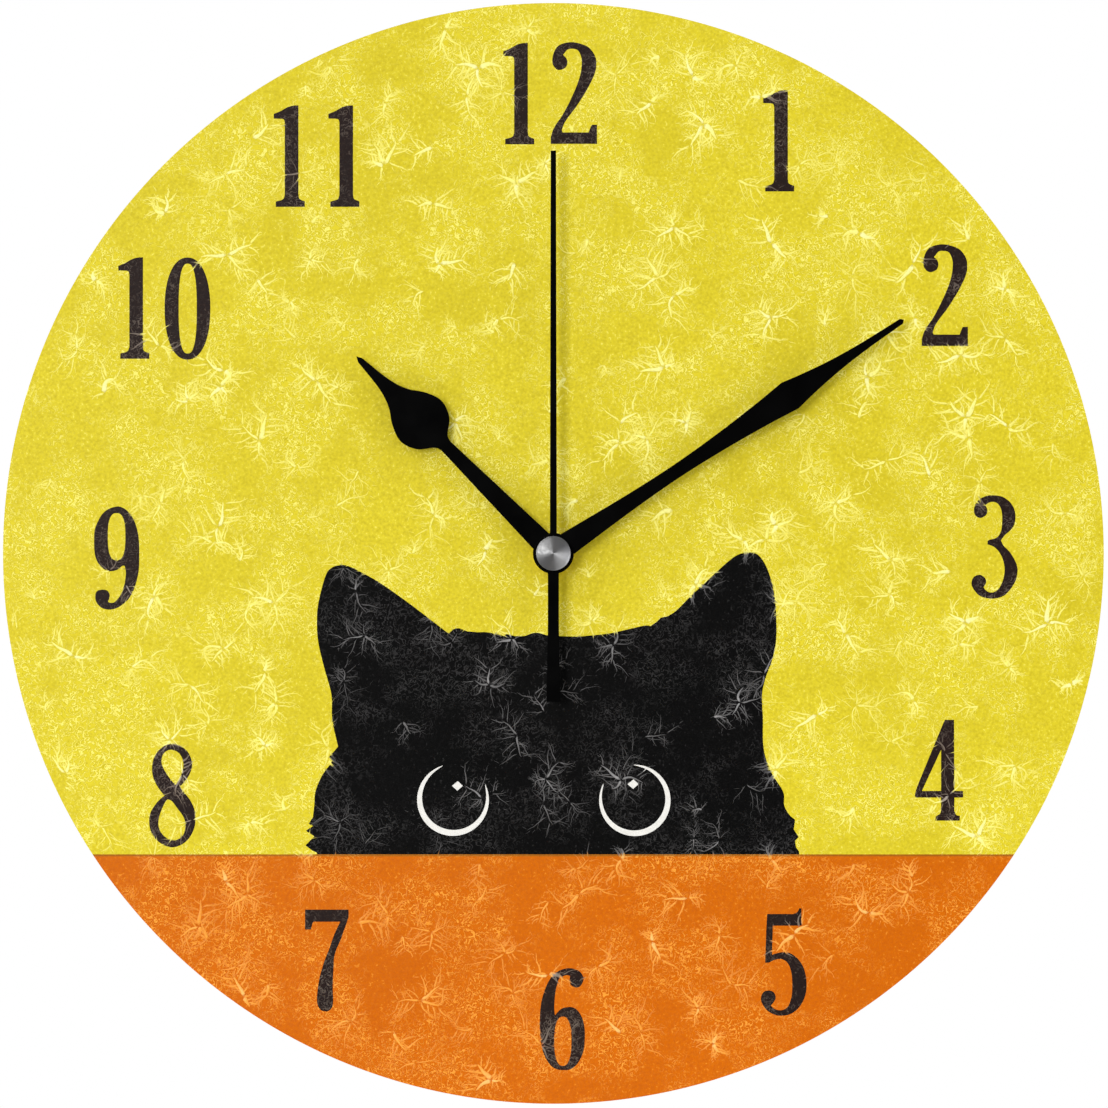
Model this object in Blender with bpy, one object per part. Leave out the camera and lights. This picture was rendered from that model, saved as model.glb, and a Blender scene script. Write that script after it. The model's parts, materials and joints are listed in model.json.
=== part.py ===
"""Round wall clock: a printed disc with a quartz movement behind it.

The face looks along -Y, +X is to the right of someone who reads it, and +Z is up. The clock
hangs against a wall at Y = 0. The hands turn about the Y axis, and the origin is where that
axis meets the rear face of the movement. Angles are clockwise from twelve, in degrees.
"""

import math
from dataclasses import dataclass

import bmesh
import bpy
from mathutils import Vector

MM = 0.001
FIT_GAP = 0.02 * MM  # between pieces that touch
RUNNING_GAP = 0.1 * MM  # between a pivot and its hole

# Disc and its fixings
DISC_RADIUS = 125.0 * MM
DISC_HOLE_RADIUS = 3.8 * MM
BUSHING_RADIUS = 3.5 * MM
BUSHING_BORE = 2.65 * MM
BUSHING_FLANGE_RADIUS = 4.6 * MM
BUSHING_FLANGE_HEIGHT = 0.6 * MM
NUT_RADIUS = 4.5 * MM
NUT_SLOT_WIDTH = 1.0 * MM
GASKET_HALF_SIDE = 25.0 * MM
GASKET_CORNER = 4.0 * MM

# Movement case
CASE_HALF_SIDE = 28.0 * MM
CASE_DEPTH = 16.0 * MM
CASE_WALL = 1.2 * MM
CASE_SPLIT = -8.0 * MM
BAY_TOP = -10.7 * MM
BAY_WALL = 1.0 * MM
BAY_FLOOR = 0.8 * MM
CLIP_WIDTH = 6.0 * MM
CLIP_REACH = 3.5 * MM
CLIP_HEIGHT = 7.0 * MM
HANGER_HALF_WIDTH = 9.0 * MM
HANGER_TOP = 40.0 * MM
HANGER_THICKNESS = 2.4 * MM
NAIL_HOLE_RADIUS = 3.0 * MM
NAIL_HOLE_HEIGHT = 32.5 * MM
NAIL_SLOT_RADIUS = 1.6 * MM
NAIL_SLOT_HEIGHT = 36.4 * MM

# Arbors and pipes, by radius
SECOND_ARBOR = 0.5 * MM
MINUTE_PIPE = 1.75 * MM
MINUTE_PIPE_BORE = 0.65 * MM
CLUTCH_SEAT = 1.4 * MM
HOUR_PIPE = 2.5 * MM
HOUR_PIPE_BORE = 1.85 * MM
WHEEL_ARBOR = 0.7 * MM
WHEEL_PIVOT = 0.4 * MM
MINUTE_POST = 0.6 * MM

# Setting knob, in its recess
KNOB_RADIUS = 4.45 * MM
KNOB_RIBS = 20
KNOB_RIB_DEPTH = 0.35 * MM
KNOB_RECESS = 4.9 * MM

# Tooth form of every gear, in modules, and the play at the pitch circle of a pair
ADDENDUM = 0.95
DEDENDUM = 1.3
BACKLASH = 0.12 * MM

# Rotor magnet, stator and coil
MAGNET_RADIUS = 3.0 * MM
STATOR_HOLE_RADIUS = 3.4 * MM
STATOR_LEFT = 9.6 * MM
STATOR_INNER = 18.2 * MM
STATOR_BOTTOM = 3.0 * MM
STATOR_TOP = 25.0 * MM
STATOR_ARM = 3.0 * MM
CORE_LEFT = 21.2 * MM
CORE_RIGHT = 24.2 * MM
CORE_THICKNESS = 1.0 * MM
SPOOL_MARGIN = 0.35 * MM  # how far each goes beyond the core's sides
WINDING_MARGIN = 1.9 * MM
BOBBIN_MARGIN = 2.2 * MM
BOBBIN_FLANGE = 1.0 * MM
BOBBIN_ENDS = (6.6 * MM, 21.4 * MM)
STAKE_RADIUS = 0.7 * MM

# Cell
CELL_RADIUS = 7.25 * MM
CELL_SLEEVE = 0.2 * MM
CELL_ENDS = (-24.6 * MM, 24.9 * MM)
CELL_NUB_RADIUS = 2.75 * MM
CELL_NUB_HEIGHT = 1.0 * MM
CELL_AXIS = (-7.85 * MM, -19.35 * MM)  # Y and Z of its long axis
CONTACT_THICKNESS = 0.3 * MM
CONTACT_TAIL = (-6.8 * MM, -5.3 * MM)

# Hands
HAND_THICKNESS = 0.4 * MM
SECOND_HAND_THICKNESS = 0.3 * MM
HAND_HUB_RADIUS = 4.65 * MM
MINUTE_HUB_RADIUS = 4.4 * MM
COLLET_WALL = 0.7 * MM
CAP_RADIUS = 3.9 * MM
CAP_HEIGHT = 1.1 * MM
HOUR_HAND_ANGLE = -45.0
MINUTE_HAND_ANGLE = 56.3
SECOND_HAND_ANGLE = 0.0

# Half widths of the hands at distances from the hub, both in millimetres
HOUR_HAND_BLADE = ((4.0, 2.5), (34.5, 1.45))
HOUR_HAND_SPADE = ((34.5, 1.45), (36.0, 2.1), (38.6, 5.2), (42.4, 6.55), (46.3, 5.3), (50.0, 2.9),
                   (54.5, 1.5), (62.0, 0.65))
MINUTE_HAND_BLADE = ((4.0, 2.7), (20.0, 1.85), (33.0, 1.55), (45.0, 1.9), (56.0, 2.65),
                     (64.5, 3.5))
MINUTE_HAND_POINT = ((64.5, 3.5), (70.0, 2.5), (77.0, 1.55), (85.0, 0.95), (94.8, 0.65))
HOUR_HAND_TIP = 63.2
MINUTE_HAND_TIP = 95.5
SECOND_HAND_OUTLINE = ((-33.6, 1.6), (-17.0, 1.25), (-4.5, 1.05), (4.5, 0.78), (91.2, 0.6))


@dataclass(frozen=True)
class Layer:
    """The slice of depth that a piece takes up, from its front to its rear."""

    front: float
    rear: float

    def ahead(self, thickness):
        """The next layer in front of this one, which touches it."""
        rear = self.front - FIT_GAP
        return Layer(rear - thickness, rear)


@dataclass(frozen=True)
class Mesh:
    """A pinion and the wheel that it meshes with, on arbors a given distance apart."""

    pinion: int
    wheel: int
    distance: float

    @property
    def module(self):
        return 2 * self.distance / (self.pinion + self.wheel)


# The stack in front of the case, each layer resting on the one before
CASE = Layer(-CASE_DEPTH, 0.0)
GASKET = CASE.ahead(1.0 * MM)
BOARD = GASKET.ahead(3.5 * MM)
FILM = BOARD.ahead(0.3 * MM)
WASHER = FILM.ahead(0.4 * MM)
NUT = WASHER.ahead(1.6 * MM)
BUSHING_FRONT = NUT.front - 0.3 * MM
HOUR_HAND = Layer(-24.7 * MM, -24.3 * MM)
MINUTE_HAND = Layer(-26.1 * MM, -25.7 * MM)
HAND_NUT = MINUTE_HAND.ahead(0.9 * MM)
SECOND_TUBE = Layer(-28.3 * MM, -27.4 * MM)
SECOND_HAND = SECOND_TUBE.ahead(SECOND_HAND_THICKNESS)
CAP = SECOND_HAND.ahead(CAP_HEIGHT)

# The going train and the motion work, from the rear to the front
STATOR = Layer(-3.5 * MM, -2.5 * MM)
MAGNET = Layer(-4.0 * MM, -2.0 * MM)
ROTOR_MESH_LAYER = Layer(-5.6 * MM, -4.8 * MM)
SECOND_WHEEL_LAYER = Layer(-7.6 * MM, -6.8 * MM)
THIRD_WHEEL_LAYER = Layer(-9.2 * MM, -8.4 * MM)
CENTRE_WHEEL_LAYER = Layer(-11.3 * MM, -10.3 * MM)
CANNON_LAYER = Layer(-12.8 * MM, -11.8 * MM)
HOUR_WHEEL_LAYER = Layer(-14.3 * MM, -13.3 * MM)
MIDDLE_PLATE = Layer(-9.0 * MM, -8.0 * MM)
CIRCUIT_BOARD = Layer(-7.9 * MM, -6.9 * MM)
PINION_OVERHANG = 0.1 * MM

ROTOR_MESH = Mesh(8, 48, 8.4 * MM)
INTERMEDIATE_MESH = Mesh(8, 40, 8.4 * MM)
SECOND_MESH = Mesh(8, 60, 10.8 * MM)
THIRD_MESH = Mesh(8, 64, 10.8 * MM)
CANNON_MESH = Mesh(12, 36, 7.5 * MM)
MINUTE_MESH = Mesh(10, 40, 7.5 * MM)

# Bearings of the arbors from the one each meshes with
INTERMEDIATE_BEARING = 45.0
ROTOR_BEARING = 70.0
THIRD_BEARING = -45.0
MINUTE_BEARING = -100.0
KNOB_BEARING = -110.0


def towards(angle, distance, start=(0.0, 0.0)):
    """The X and Z of a point at a distance from start, at an angle clockwise from twelve."""
    turn = math.radians(angle)
    return start[0] + distance * math.sin(turn), start[1] + distance * math.cos(turn)


CENTRE = (0.0, 0.0)
INTERMEDIATE_AXIS = towards(INTERMEDIATE_BEARING, INTERMEDIATE_MESH.distance)
ROTOR_AXIS = towards(ROTOR_BEARING, ROTOR_MESH.distance, INTERMEDIATE_AXIS)
THIRD_AXIS = towards(THIRD_BEARING, SECOND_MESH.distance)
MINUTE_AXIS = towards(MINUTE_BEARING, CANNON_MESH.distance)
KNOB_AXIS = towards(KNOB_BEARING, CANNON_MESH.distance, MINUTE_AXIS)
PLATE_POSTS = ((24.3 * MM, -2.6 * MM), (4.5 * MM, 24.0 * MM), (-23.5 * MM, 23.0 * MM))
CORE_MIDDLE = (CORE_LEFT + CORE_RIGHT) / 2
STAKES = ((CORE_MIDDLE, STATOR_BOTTOM + STATOR_ARM / 2),
          (CORE_MIDDLE, STATOR_TOP - STATOR_ARM / 2))


# ---------------------------------------------------------------- scene helpers


def clear_scene():
    for obj in list(bpy.data.objects):
        bpy.data.objects.remove(obj)


def finish(name, colour, roughness, metallic=0.0):
    """A Principled material."""
    made = bpy.data.materials.new(name)
    made.use_nodes = True
    shader = made.node_tree.nodes["Principled BSDF"]
    shader.inputs["Base Color"].default_value = (*colour, 1.0)
    shader.inputs["Roughness"].default_value = roughness
    shader.inputs["Metallic"].default_value = metallic
    return made


def axis_empty(name, place):
    """An empty on a turning axis, which the pieces of that axis are parented to."""
    empty = bpy.data.objects.new(name, None)
    empty.location = (place[0], 0.0, place[1])
    bpy.context.collection.objects.link(empty)
    return empty


def add_object(name, shape, made_of=None, parent=None):
    """Turns a bmesh into an object with outward faces, and frees the bmesh."""
    bmesh.ops.recalc_face_normals(shape, faces=shape.faces)
    mesh = bpy.data.meshes.new(name)
    shape.to_mesh(mesh)
    shape.free()
    mesh.shade_smooth()
    mesh.set_sharp_from_angle(angle=math.radians(30))
    obj = bpy.data.objects.new(name, mesh)
    bpy.context.collection.objects.link(obj)
    if made_of is not None:
        mesh.materials.append(made_of)
    if parent is not None:
        obj.parent = parent
    return obj


def combine(obj, operation, tools):
    """Adds each tool to the object, or cuts it away, and leaves the tool as a wire helper."""
    for tool in tools:
        step = obj.modifiers.new(operation.title(), "BOOLEAN")
        step.operation = operation
        step.solver = "EXACT"
        step.object = tool
        tool.hide_render = True
        tool.display_type = "WIRE"
        tool.parent = obj.parent


def join(obj, *tools):
    combine(obj, "UNION", tools)


def cut(obj, *tools):
    combine(obj, "DIFFERENCE", tools)


# ---------------------------------------------------------------- outlines


def circle_points(radius, centre=CENTRE, sides=24):
    return [towards(360.0 * i / sides, radius, centre) for i in range(sides)]


def arc_points(radius, centre, first, last, steps):
    """Points of an arc between two angles, both ends included."""
    return [towards(first + (last - first) * i / steps, radius, centre) for i in range(steps + 1)]


def rectangle_points(left, right, bottom, top, corner=0.0, steps=4):
    """A rectangle, with round corners where corner is more than nothing."""
    if corner <= 0:
        return [(left, bottom), (right, bottom), (right, top), (left, top)]
    middles = ((right - corner, top - corner, 0.0), (right - corner, bottom + corner, 90.0),
               (left + corner, bottom + corner, 180.0), (left + corner, top - corner, 270.0))
    outline = []
    for x, z, start in middles:
        outline += arc_points(corner, (x, z), start, start + 90.0, steps)
    return outline


def curve_through(points, steps):
    """A smooth curve through points, with steps pieces between each pair of them."""
    ends = [points[0], *points, points[-1]]
    curve = []
    for before, start, end, after in zip(ends, ends[1:], ends[2:], ends[3:]):
        for i in range(steps):
            t = i / steps
            curve.append(tuple(
                0.5 * (2 * b + (c - a) * t + (2 * a - 5 * b + 4 * c - d) * t ** 2
                       + (3 * b - a - 3 * c + d) * t ** 3)
                for a, b, c, d in zip(before, start, end, after)))
    curve.append(points[-1])
    return curve


def hand_points(edge, tip=None):
    """Both sides of a hand from its right edge, closed by a round tip where there is one."""
    right = [(half * MM, along * MM) for along, half in edge]
    left = [(-x, z) for x, z in reversed(right)]
    if tip is None:
        return right + left
    radius, height = right[-1]
    rise = tip * MM - height
    bend = [math.radians(a) for a in (30, 60, 90, 120, 150)]
    return right + [(radius * math.cos(a), height + rise * math.sin(a)) for a in bend] + left


def tip_lean(pitch_radius, rolling_radius, tip_radius):
    """How far an epicycloidal flank leans towards the middle of its tooth at the tip."""
    reach = pitch_radius + rolling_radius
    cosine = (reach ** 2 + rolling_radius ** 2 - tip_radius ** 2) / (2 * reach * rolling_radius)
    roll = rolling_radius / pitch_radius * math.acos(cosine)
    spin = reach / rolling_radius * roll
    return math.atan2(reach * math.sin(roll) - rolling_radius * math.sin(spin),
                      reach * math.cos(roll) - rolling_radius * math.cos(spin))


def gear_points(teeth, mate, module, phase):
    """A clock gear: a pinion's flanks are radial below the pitch circle and lean to a point
    above it, and a wheel's are one chord of that shape from root to tip."""
    pitch_radius = module * teeth / 2
    tip_radius = pitch_radius + ADDENDUM * module
    root_radius = pitch_radius - DEDENDUM * module
    half = math.pi / (2 * teeth) - BACKLASH / (4 * pitch_radius)
    lean = tip_lean(pitch_radius, module * mate / 4, tip_radius)
    flank = [(half, root_radius), (half, pitch_radius), (half - lean, tip_radius)]
    if teeth > mate:
        del flank[1]
    tooth = [(-turn, radius) for turn, radius in flank] + flank[::-1]
    return [towards(phase + 360.0 * i / teeth + math.degrees(turn), radius)
            for i in range(teeth) for turn, radius in tooth]


def meshing_phase(teeth, phase, bearing, mate):
    """The phase that sets a gap of the mate opposite a tooth of the gear it meshes with."""
    past_tooth = (bearing - phase) * teeth / 360.0
    return bearing + 180.0 + (past_tooth + 0.5) * 360.0 / mate


# ---------------------------------------------------------------- solids


def plate(name, layer, *loops, made_of=None, parent=None):
    """A flat plate of the first outline, with the others as holes through it."""
    shape = bmesh.new()
    edges = []
    for loop in loops:
        corners = [shape.verts.new((x, layer.front, z)) for x, z in loop]
        edges += [shape.edges.new(pair) for pair in zip(corners, corners[1:] + corners[:1])]
    bmesh.ops.triangle_fill(shape, edges=edges, use_beauty=True, normal=Vector((0, -1, 0)))
    raised = bmesh.ops.extrude_face_region(shape, geom=shape.faces[:])["geom"]
    moved = [part for part in raised if isinstance(part, bmesh.types.BMVert)]
    bmesh.ops.translate(shape, verts=moved, vec=(0, layer.rear - layer.front, 0))
    return add_object(name, shape, made_of, parent)


def turned(name, profile, place=CENTRE, sides=24, made_of=None, parent=None):
    """A closed profile of radius and depth turned about a line along Y."""
    shape = bmesh.new()
    corners = [shape.verts.new((0, depth, radius)) for radius, depth in profile]
    for pair in zip(corners, corners[1:] + corners[:1]):
        if any(corner.co.z > 0 for corner in pair):
            shape.edges.new(pair)
    bmesh.ops.spin(shape, geom=shape.edges[:] + shape.verts[:], cent=(0, 0, 0),
                   axis=(0, 1, 0), angle=math.tau, steps=sides)
    bmesh.ops.remove_doubles(shape, verts=shape.verts, dist=1e-7)
    bmesh.ops.translate(shape, verts=shape.verts, vec=(place[0], 0, place[1]))
    return add_object(name, shape, made_of, parent)


def rod(name, radius, front, rear, place=CENTRE, sides=24, made_of=None, parent=None):
    profile = ((0, front), (radius, front), (radius, rear), (0, rear))
    return turned(name, profile, place, sides, made_of, parent)


def tube(name, outer, inner, front, rear, place=CENTRE, sides=24, made_of=None, parent=None):
    profile = ((inner, front), (outer, front), (outer, rear), (inner, rear))
    return turned(name, profile, place, sides, made_of, parent)


def bearing(name, place, mouth, foot, hole, depth):
    """A post with a blind hole in its free end, for a pivot."""
    outer = 1.4 * MM
    profile = ((0, foot), (outer, foot), (outer, mouth), (hole, mouth), (hole, depth), (0, depth))
    return turned(name, profile, place, 12)


def block(name, left, right, front, rear, bottom, top, made_of=None, parent=None):
    return plate(name, Layer(front, rear), rectangle_points(left, right, bottom, top),
                 made_of=made_of, parent=parent)


def gear(name, layer, teeth, mate, module, phase, parent, overhang=0.0, made_of=None):
    thick = Layer(layer.front - overhang, layer.rear + overhang)
    return plate(name, thick, gear_points(teeth, mate, module, phase), made_of=made_of,
                 parent=parent)


# ---------------------------------------------------------------- disc and its fixings


def make_disc():
    board = finish("board_fibre", (0.30, 0.20, 0.12), 0.8)
    print_film = finish("printed_film", (0.80, 0.66, 0.03), 0.35)
    for name, layer, made_of in (("dial_board", BOARD, board), ("face_film", FILM, print_film)):
        plate(name, layer, circle_points(DISC_RADIUS, sides=96),
              circle_points(DISC_HOLE_RADIUS), made_of=made_of)


def make_fixings():
    brass = finish("brass", (0.80, 0.58, 0.25), 0.3, 1.0)
    rubber = finish("rubber", (0.03, 0.03, 0.03), 0.8)
    plate("rubber_gasket", GASKET,
          rectangle_points(-GASKET_HALF_SIDE, GASKET_HALF_SIDE, -GASKET_HALF_SIDE,
                           GASKET_HALF_SIDE, GASKET_CORNER),
          circle_points(DISC_HOLE_RADIUS), made_of=rubber)
    bushing_rear = CASE.front + CASE_WALL
    shoulder = bushing_rear - BUSHING_FLANGE_HEIGHT
    turned("threaded_bushing",
           ((BUSHING_BORE, BUSHING_FRONT), (BUSHING_RADIUS, BUSHING_FRONT),
            (BUSHING_RADIUS, shoulder), (BUSHING_FLANGE_RADIUS, shoulder),
            (BUSHING_FLANGE_RADIUS, bushing_rear), (BUSHING_BORE, bushing_rear)),
           made_of=brass)
    tube("front_washer", NUT_RADIUS, BUSHING_RADIUS + FIT_GAP, WASHER.front, WASHER.rear,
         made_of=brass)
    nut = tube("ring_nut", NUT_RADIUS, BUSHING_RADIUS + FIT_GAP, NUT.front, NUT.rear,
               made_of=brass)
    slot_floor = NUT.front + 0.7 * MM
    cut(nut, block("nut_slot", -NUT_RADIUS - MM, NUT_RADIUS + MM, NUT.front - MM, slot_floor,
                   -NUT_SLOT_WIDTH / 2, NUT_SLOT_WIDTH / 2))


# ---------------------------------------------------------------- hands


def make_hour_hand(black, axis):
    edge = [*HOUR_HAND_BLADE[:1], *curve_through(HOUR_HAND_SPADE, 3)]
    hand = plate("hour_hand", HOUR_HAND, hand_points(edge, HOUR_HAND_TIP), made_of=black,
                 parent=axis)
    hand.rotation_euler.y = math.radians(HOUR_HAND_ANGLE)
    join(hand, rod("hour_hub", HAND_HUB_RADIUS, HOUR_HAND.front, HOUR_HAND.rear, sides=32),
         rod("hour_collet", HOUR_PIPE + COLLET_WALL, HOUR_HAND.front + HAND_THICKNESS / 2,
             HOUR_HAND.rear + 0.8 * MM))
    cut(hand, rod("hour_hand_bore", HOUR_PIPE + FIT_GAP, HOUR_HAND.front - MM,
                  HOUR_HAND.rear + 2 * MM))


def make_minute_hand(black, brass, axis):
    edge = curve_through(MINUTE_HAND_BLADE, 2)[:-1] + curve_through(MINUTE_HAND_POINT, 2)
    hand = plate("minute_hand", MINUTE_HAND, hand_points(edge, MINUTE_HAND_TIP), made_of=black,
                 parent=axis)
    hand.rotation_euler.y = math.radians(MINUTE_HAND_ANGLE)
    join(hand, rod("minute_hub", MINUTE_HUB_RADIUS, MINUTE_HAND.front, MINUTE_HAND.rear, sides=32),
         rod("minute_collet", MINUTE_PIPE + COLLET_WALL, MINUTE_HAND.front + HAND_THICKNESS / 2,
             MINUTE_HAND.rear + 0.6 * MM))
    cut(hand, rod("minute_hand_bore", MINUTE_PIPE + FIT_GAP, MINUTE_HAND.front - MM,
                  MINUTE_HAND.rear + 2 * MM))
    tube("minute_hand_nut", MINUTE_PIPE + 1.1 * MM, MINUTE_PIPE + FIT_GAP, HAND_NUT.front,
         HAND_NUT.rear, sides=24, made_of=brass, parent=axis)


def make_second_hand(black, brass, axis):
    hand = plate("second_hand", SECOND_HAND, hand_points(SECOND_HAND_OUTLINE), made_of=black,
                 parent=axis)
    hand.rotation_euler.y = math.radians(SECOND_HAND_ANGLE)
    join(hand, rod("second_hub", 2.2 * MM, SECOND_HAND.front, SECOND_HAND.rear))
    tube("second_hand_tube", SECOND_ARBOR + 0.45 * MM, SECOND_ARBOR + FIT_GAP,
         SECOND_TUBE.front, SECOND_TUBE.rear, sides=24, made_of=brass, parent=axis)


def make_centre_cap(axis):
    """A shallow domed cap over the hub of the second hand."""
    silver = finish("bright_metal", (0.75, 0.75, 0.75), 0.25, 1.0)
    rim = CAP.rear - 0.35 * MM
    rise = rim - CAP.front
    dome = [(CAP_RADIUS * math.sin(math.radians(a)), rim - rise * math.cos(math.radians(a)))
            for a in (25, 50, 70, 90)]
    turned("centre_cap", [(0, CAP.front), *dome, (CAP_RADIUS, CAP.rear), (0, CAP.rear)],
           sides=32, made_of=silver, parent=axis)


# ---------------------------------------------------------------- gear train


def make_second_arbor(steel, axis):
    rod("second_arbor", SECOND_ARBOR, SECOND_TUBE.front + 0.1 * MM, -1.5 * MM, sides=12,
        made_of=steel, parent=axis)


def make_second_wheel(phase, plastic, axis):
    """The second wheel with the pinion that drives the third wheel moulded on it."""
    wheel = gear("second_wheel", SECOND_WHEEL_LAYER, INTERMEDIATE_MESH.wheel,
                 INTERMEDIATE_MESH.pinion, INTERMEDIATE_MESH.module, phase, axis,
                 made_of=plastic)
    join(wheel, rod("second_boss", SECOND_ARBOR + 0.3 * MM, -9.8 * MM, -6.3 * MM, sides=12),
         gear("second_pinion", THIRD_WHEEL_LAYER, SECOND_MESH.pinion, SECOND_MESH.wheel,
              SECOND_MESH.module, 0.0, axis, PINION_OVERHANG))
    cut(wheel, rod("second_wheel_bore", SECOND_ARBOR + FIT_GAP, -11 * MM, -5 * MM, sides=12))


def make_intermediate_wheel(pinion_phase, wheel_phase, plastic, axis):
    wheel = gear("intermediate_wheel", ROTOR_MESH_LAYER, ROTOR_MESH.wheel, ROTOR_MESH.pinion,
                 ROTOR_MESH.module, wheel_phase, axis, made_of=plastic)
    join(wheel, rod("intermediate_arbor", WHEEL_ARBOR, -7.85 * MM, -4.5 * MM, sides=12),
         rod("intermediate_pivots", WHEEL_PIVOT, -8.9 * MM, -1.5 * MM, sides=12),
         gear("intermediate_pinion", SECOND_WHEEL_LAYER, INTERMEDIATE_MESH.pinion,
              INTERMEDIATE_MESH.wheel, INTERMEDIATE_MESH.module, pinion_phase, axis,
              PINION_OVERHANG))


def make_rotor(phase, plastic, axis):
    """The rotor's pinion and shaft, and the two-pole magnet round its rear end."""
    pinion = gear("rotor_pinion", ROTOR_MESH_LAYER, ROTOR_MESH.pinion, ROTOR_MESH.wheel,
                  ROTOR_MESH.module, phase, axis, 2 * PINION_OVERHANG, made_of=plastic)
    join(pinion, rod("rotor_shaft", WHEEL_ARBOR, -6.0 * MM, MAGNET.rear + 0.1 * MM, sides=12),
         rod("rotor_pivots", WHEEL_PIVOT, -7.6 * MM, -1.35 * MM, sides=12))
    tube("rotor_magnet", MAGNET_RADIUS, WHEEL_ARBOR + FIT_GAP, MAGNET.front, MAGNET.rear,
         made_of=finish("ferrite", (0.06, 0.06, 0.07), 0.5, 0.3), parent=axis)


def make_third_wheel(wheel_phase, plastic, axis):
    wheel = gear("third_wheel", THIRD_WHEEL_LAYER, SECOND_MESH.wheel, SECOND_MESH.pinion,
                 SECOND_MESH.module, wheel_phase, axis, made_of=plastic)
    join(wheel, rod("third_arbor", WHEEL_ARBOR, -11.5 * MM, -8.2 * MM, sides=12),
         rod("third_pivots", WHEEL_PIVOT, -12.6 * MM, -7.1 * MM, sides=12),
         gear("third_pinion", CENTRE_WHEEL_LAYER, THIRD_MESH.pinion, THIRD_MESH.wheel,
              THIRD_MESH.module, 0.0, axis, PINION_OVERHANG))


def make_centre_wheel(phase, plastic, spring_steel, axis):
    """The centre wheel, which turns the cannon pinion through a sprung washer."""
    wheel = gear("centre_wheel", CENTRE_WHEEL_LAYER, THIRD_MESH.wheel, THIRD_MESH.pinion,
                 THIRD_MESH.module, phase, axis, made_of=plastic)
    cut(wheel, rod("centre_wheel_bore", CLUTCH_SEAT + FIT_GAP, CENTRE_WHEEL_LAYER.front - MM,
                   CENTRE_WHEEL_LAYER.rear + MM, sides=24))
    tube("clutch_spring", 3.2 * MM, CLUTCH_SEAT + FIT_GAP, CANNON_LAYER.rear + 0.1 * MM,
         CENTRE_WHEEL_LAYER.front - 0.1 * MM, sides=24, made_of=spring_steel, parent=axis)


def make_cannon_pinion(phase, brass, axis):
    """The minute pipe with the cannon pinion at its rear end."""
    pipe = rod("cannon_pinion", MINUTE_PIPE, HAND_NUT.front - 0.1 * MM,
               CANNON_LAYER.front - 0.1 * MM, sides=24, made_of=brass, parent=axis)
    join(pipe, gear("cannon_teeth", CANNON_LAYER, CANNON_MESH.pinion, CANNON_MESH.wheel,
                    CANNON_MESH.module, phase, axis, PINION_OVERHANG / 2),
         rod("clutch_seat", CLUTCH_SEAT, -13.5 * MM, -9.95 * MM, sides=24),
         rod("clutch_bead", CLUTCH_SEAT + 0.25 * MM, -10.2 * MM, -10.0 * MM, sides=24))
    cut(pipe, rod("minute_pipe_bore", MINUTE_PIPE_BORE, -30 * MM, -9 * MM, sides=12))


def make_minute_wheel(wheel_phase, plastic, axis):
    wheel = gear("minute_wheel", CANNON_LAYER, CANNON_MESH.wheel, CANNON_MESH.pinion,
                 CANNON_MESH.module, wheel_phase, axis, made_of=plastic)
    join(wheel, rod("minute_boss", 1.05 * MM, HOUR_WHEEL_LAYER.front + 0.1 * MM,
                    CANNON_LAYER.rear - 0.1 * MM, sides=12),
         gear("minute_pinion", HOUR_WHEEL_LAYER, MINUTE_MESH.pinion, MINUTE_MESH.wheel,
              MINUTE_MESH.module, 0.0, axis, PINION_OVERHANG / 2))
    cut(wheel, rod("minute_wheel_bore", MINUTE_POST + RUNNING_GAP, -15 * MM, -11 * MM, sides=12))


def make_hour_wheel(phase, plastic, axis):
    wheel = gear("hour_wheel", HOUR_WHEEL_LAYER, MINUTE_MESH.wheel, MINUTE_MESH.pinion,
                 MINUTE_MESH.module, phase, axis, made_of=plastic)
    join(wheel, rod("hour_pipe", HOUR_PIPE, HOUR_HAND.front - 0.1 * MM,
                    HOUR_WHEEL_LAYER.rear - 0.1 * MM))
    cut(wheel, rod("hour_pipe_bore", HOUR_PIPE_BORE, -26 * MM, -13 * MM))


def make_setting_knob(phase, plastic, axis):
    """The knob in its recess at the rear, on a shaft that reaches the minute wheel."""
    ribs = [towards(180.0 * i / KNOB_RIBS, KNOB_RADIUS - KNOB_RIB_DEPTH * (i % 2))
            for i in range(2 * KNOB_RIBS)]
    knob = plate("setting_knob", Layer(-2.9 * MM, -0.35 * MM), ribs, made_of=plastic, parent=axis)
    join(knob, rod("knob_shaft", 1.1 * MM, CANNON_LAYER.rear - 0.5 * MM, -2.5 * MM, sides=12),
         rod("knob_pivot", MINUTE_POST, -14.5 * MM, CANNON_LAYER.rear, sides=12),
         gear("knob_pinion", CANNON_LAYER, CANNON_MESH.pinion, CANNON_MESH.wheel,
              CANNON_MESH.module, phase, axis, PINION_OVERHANG / 2))


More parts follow.
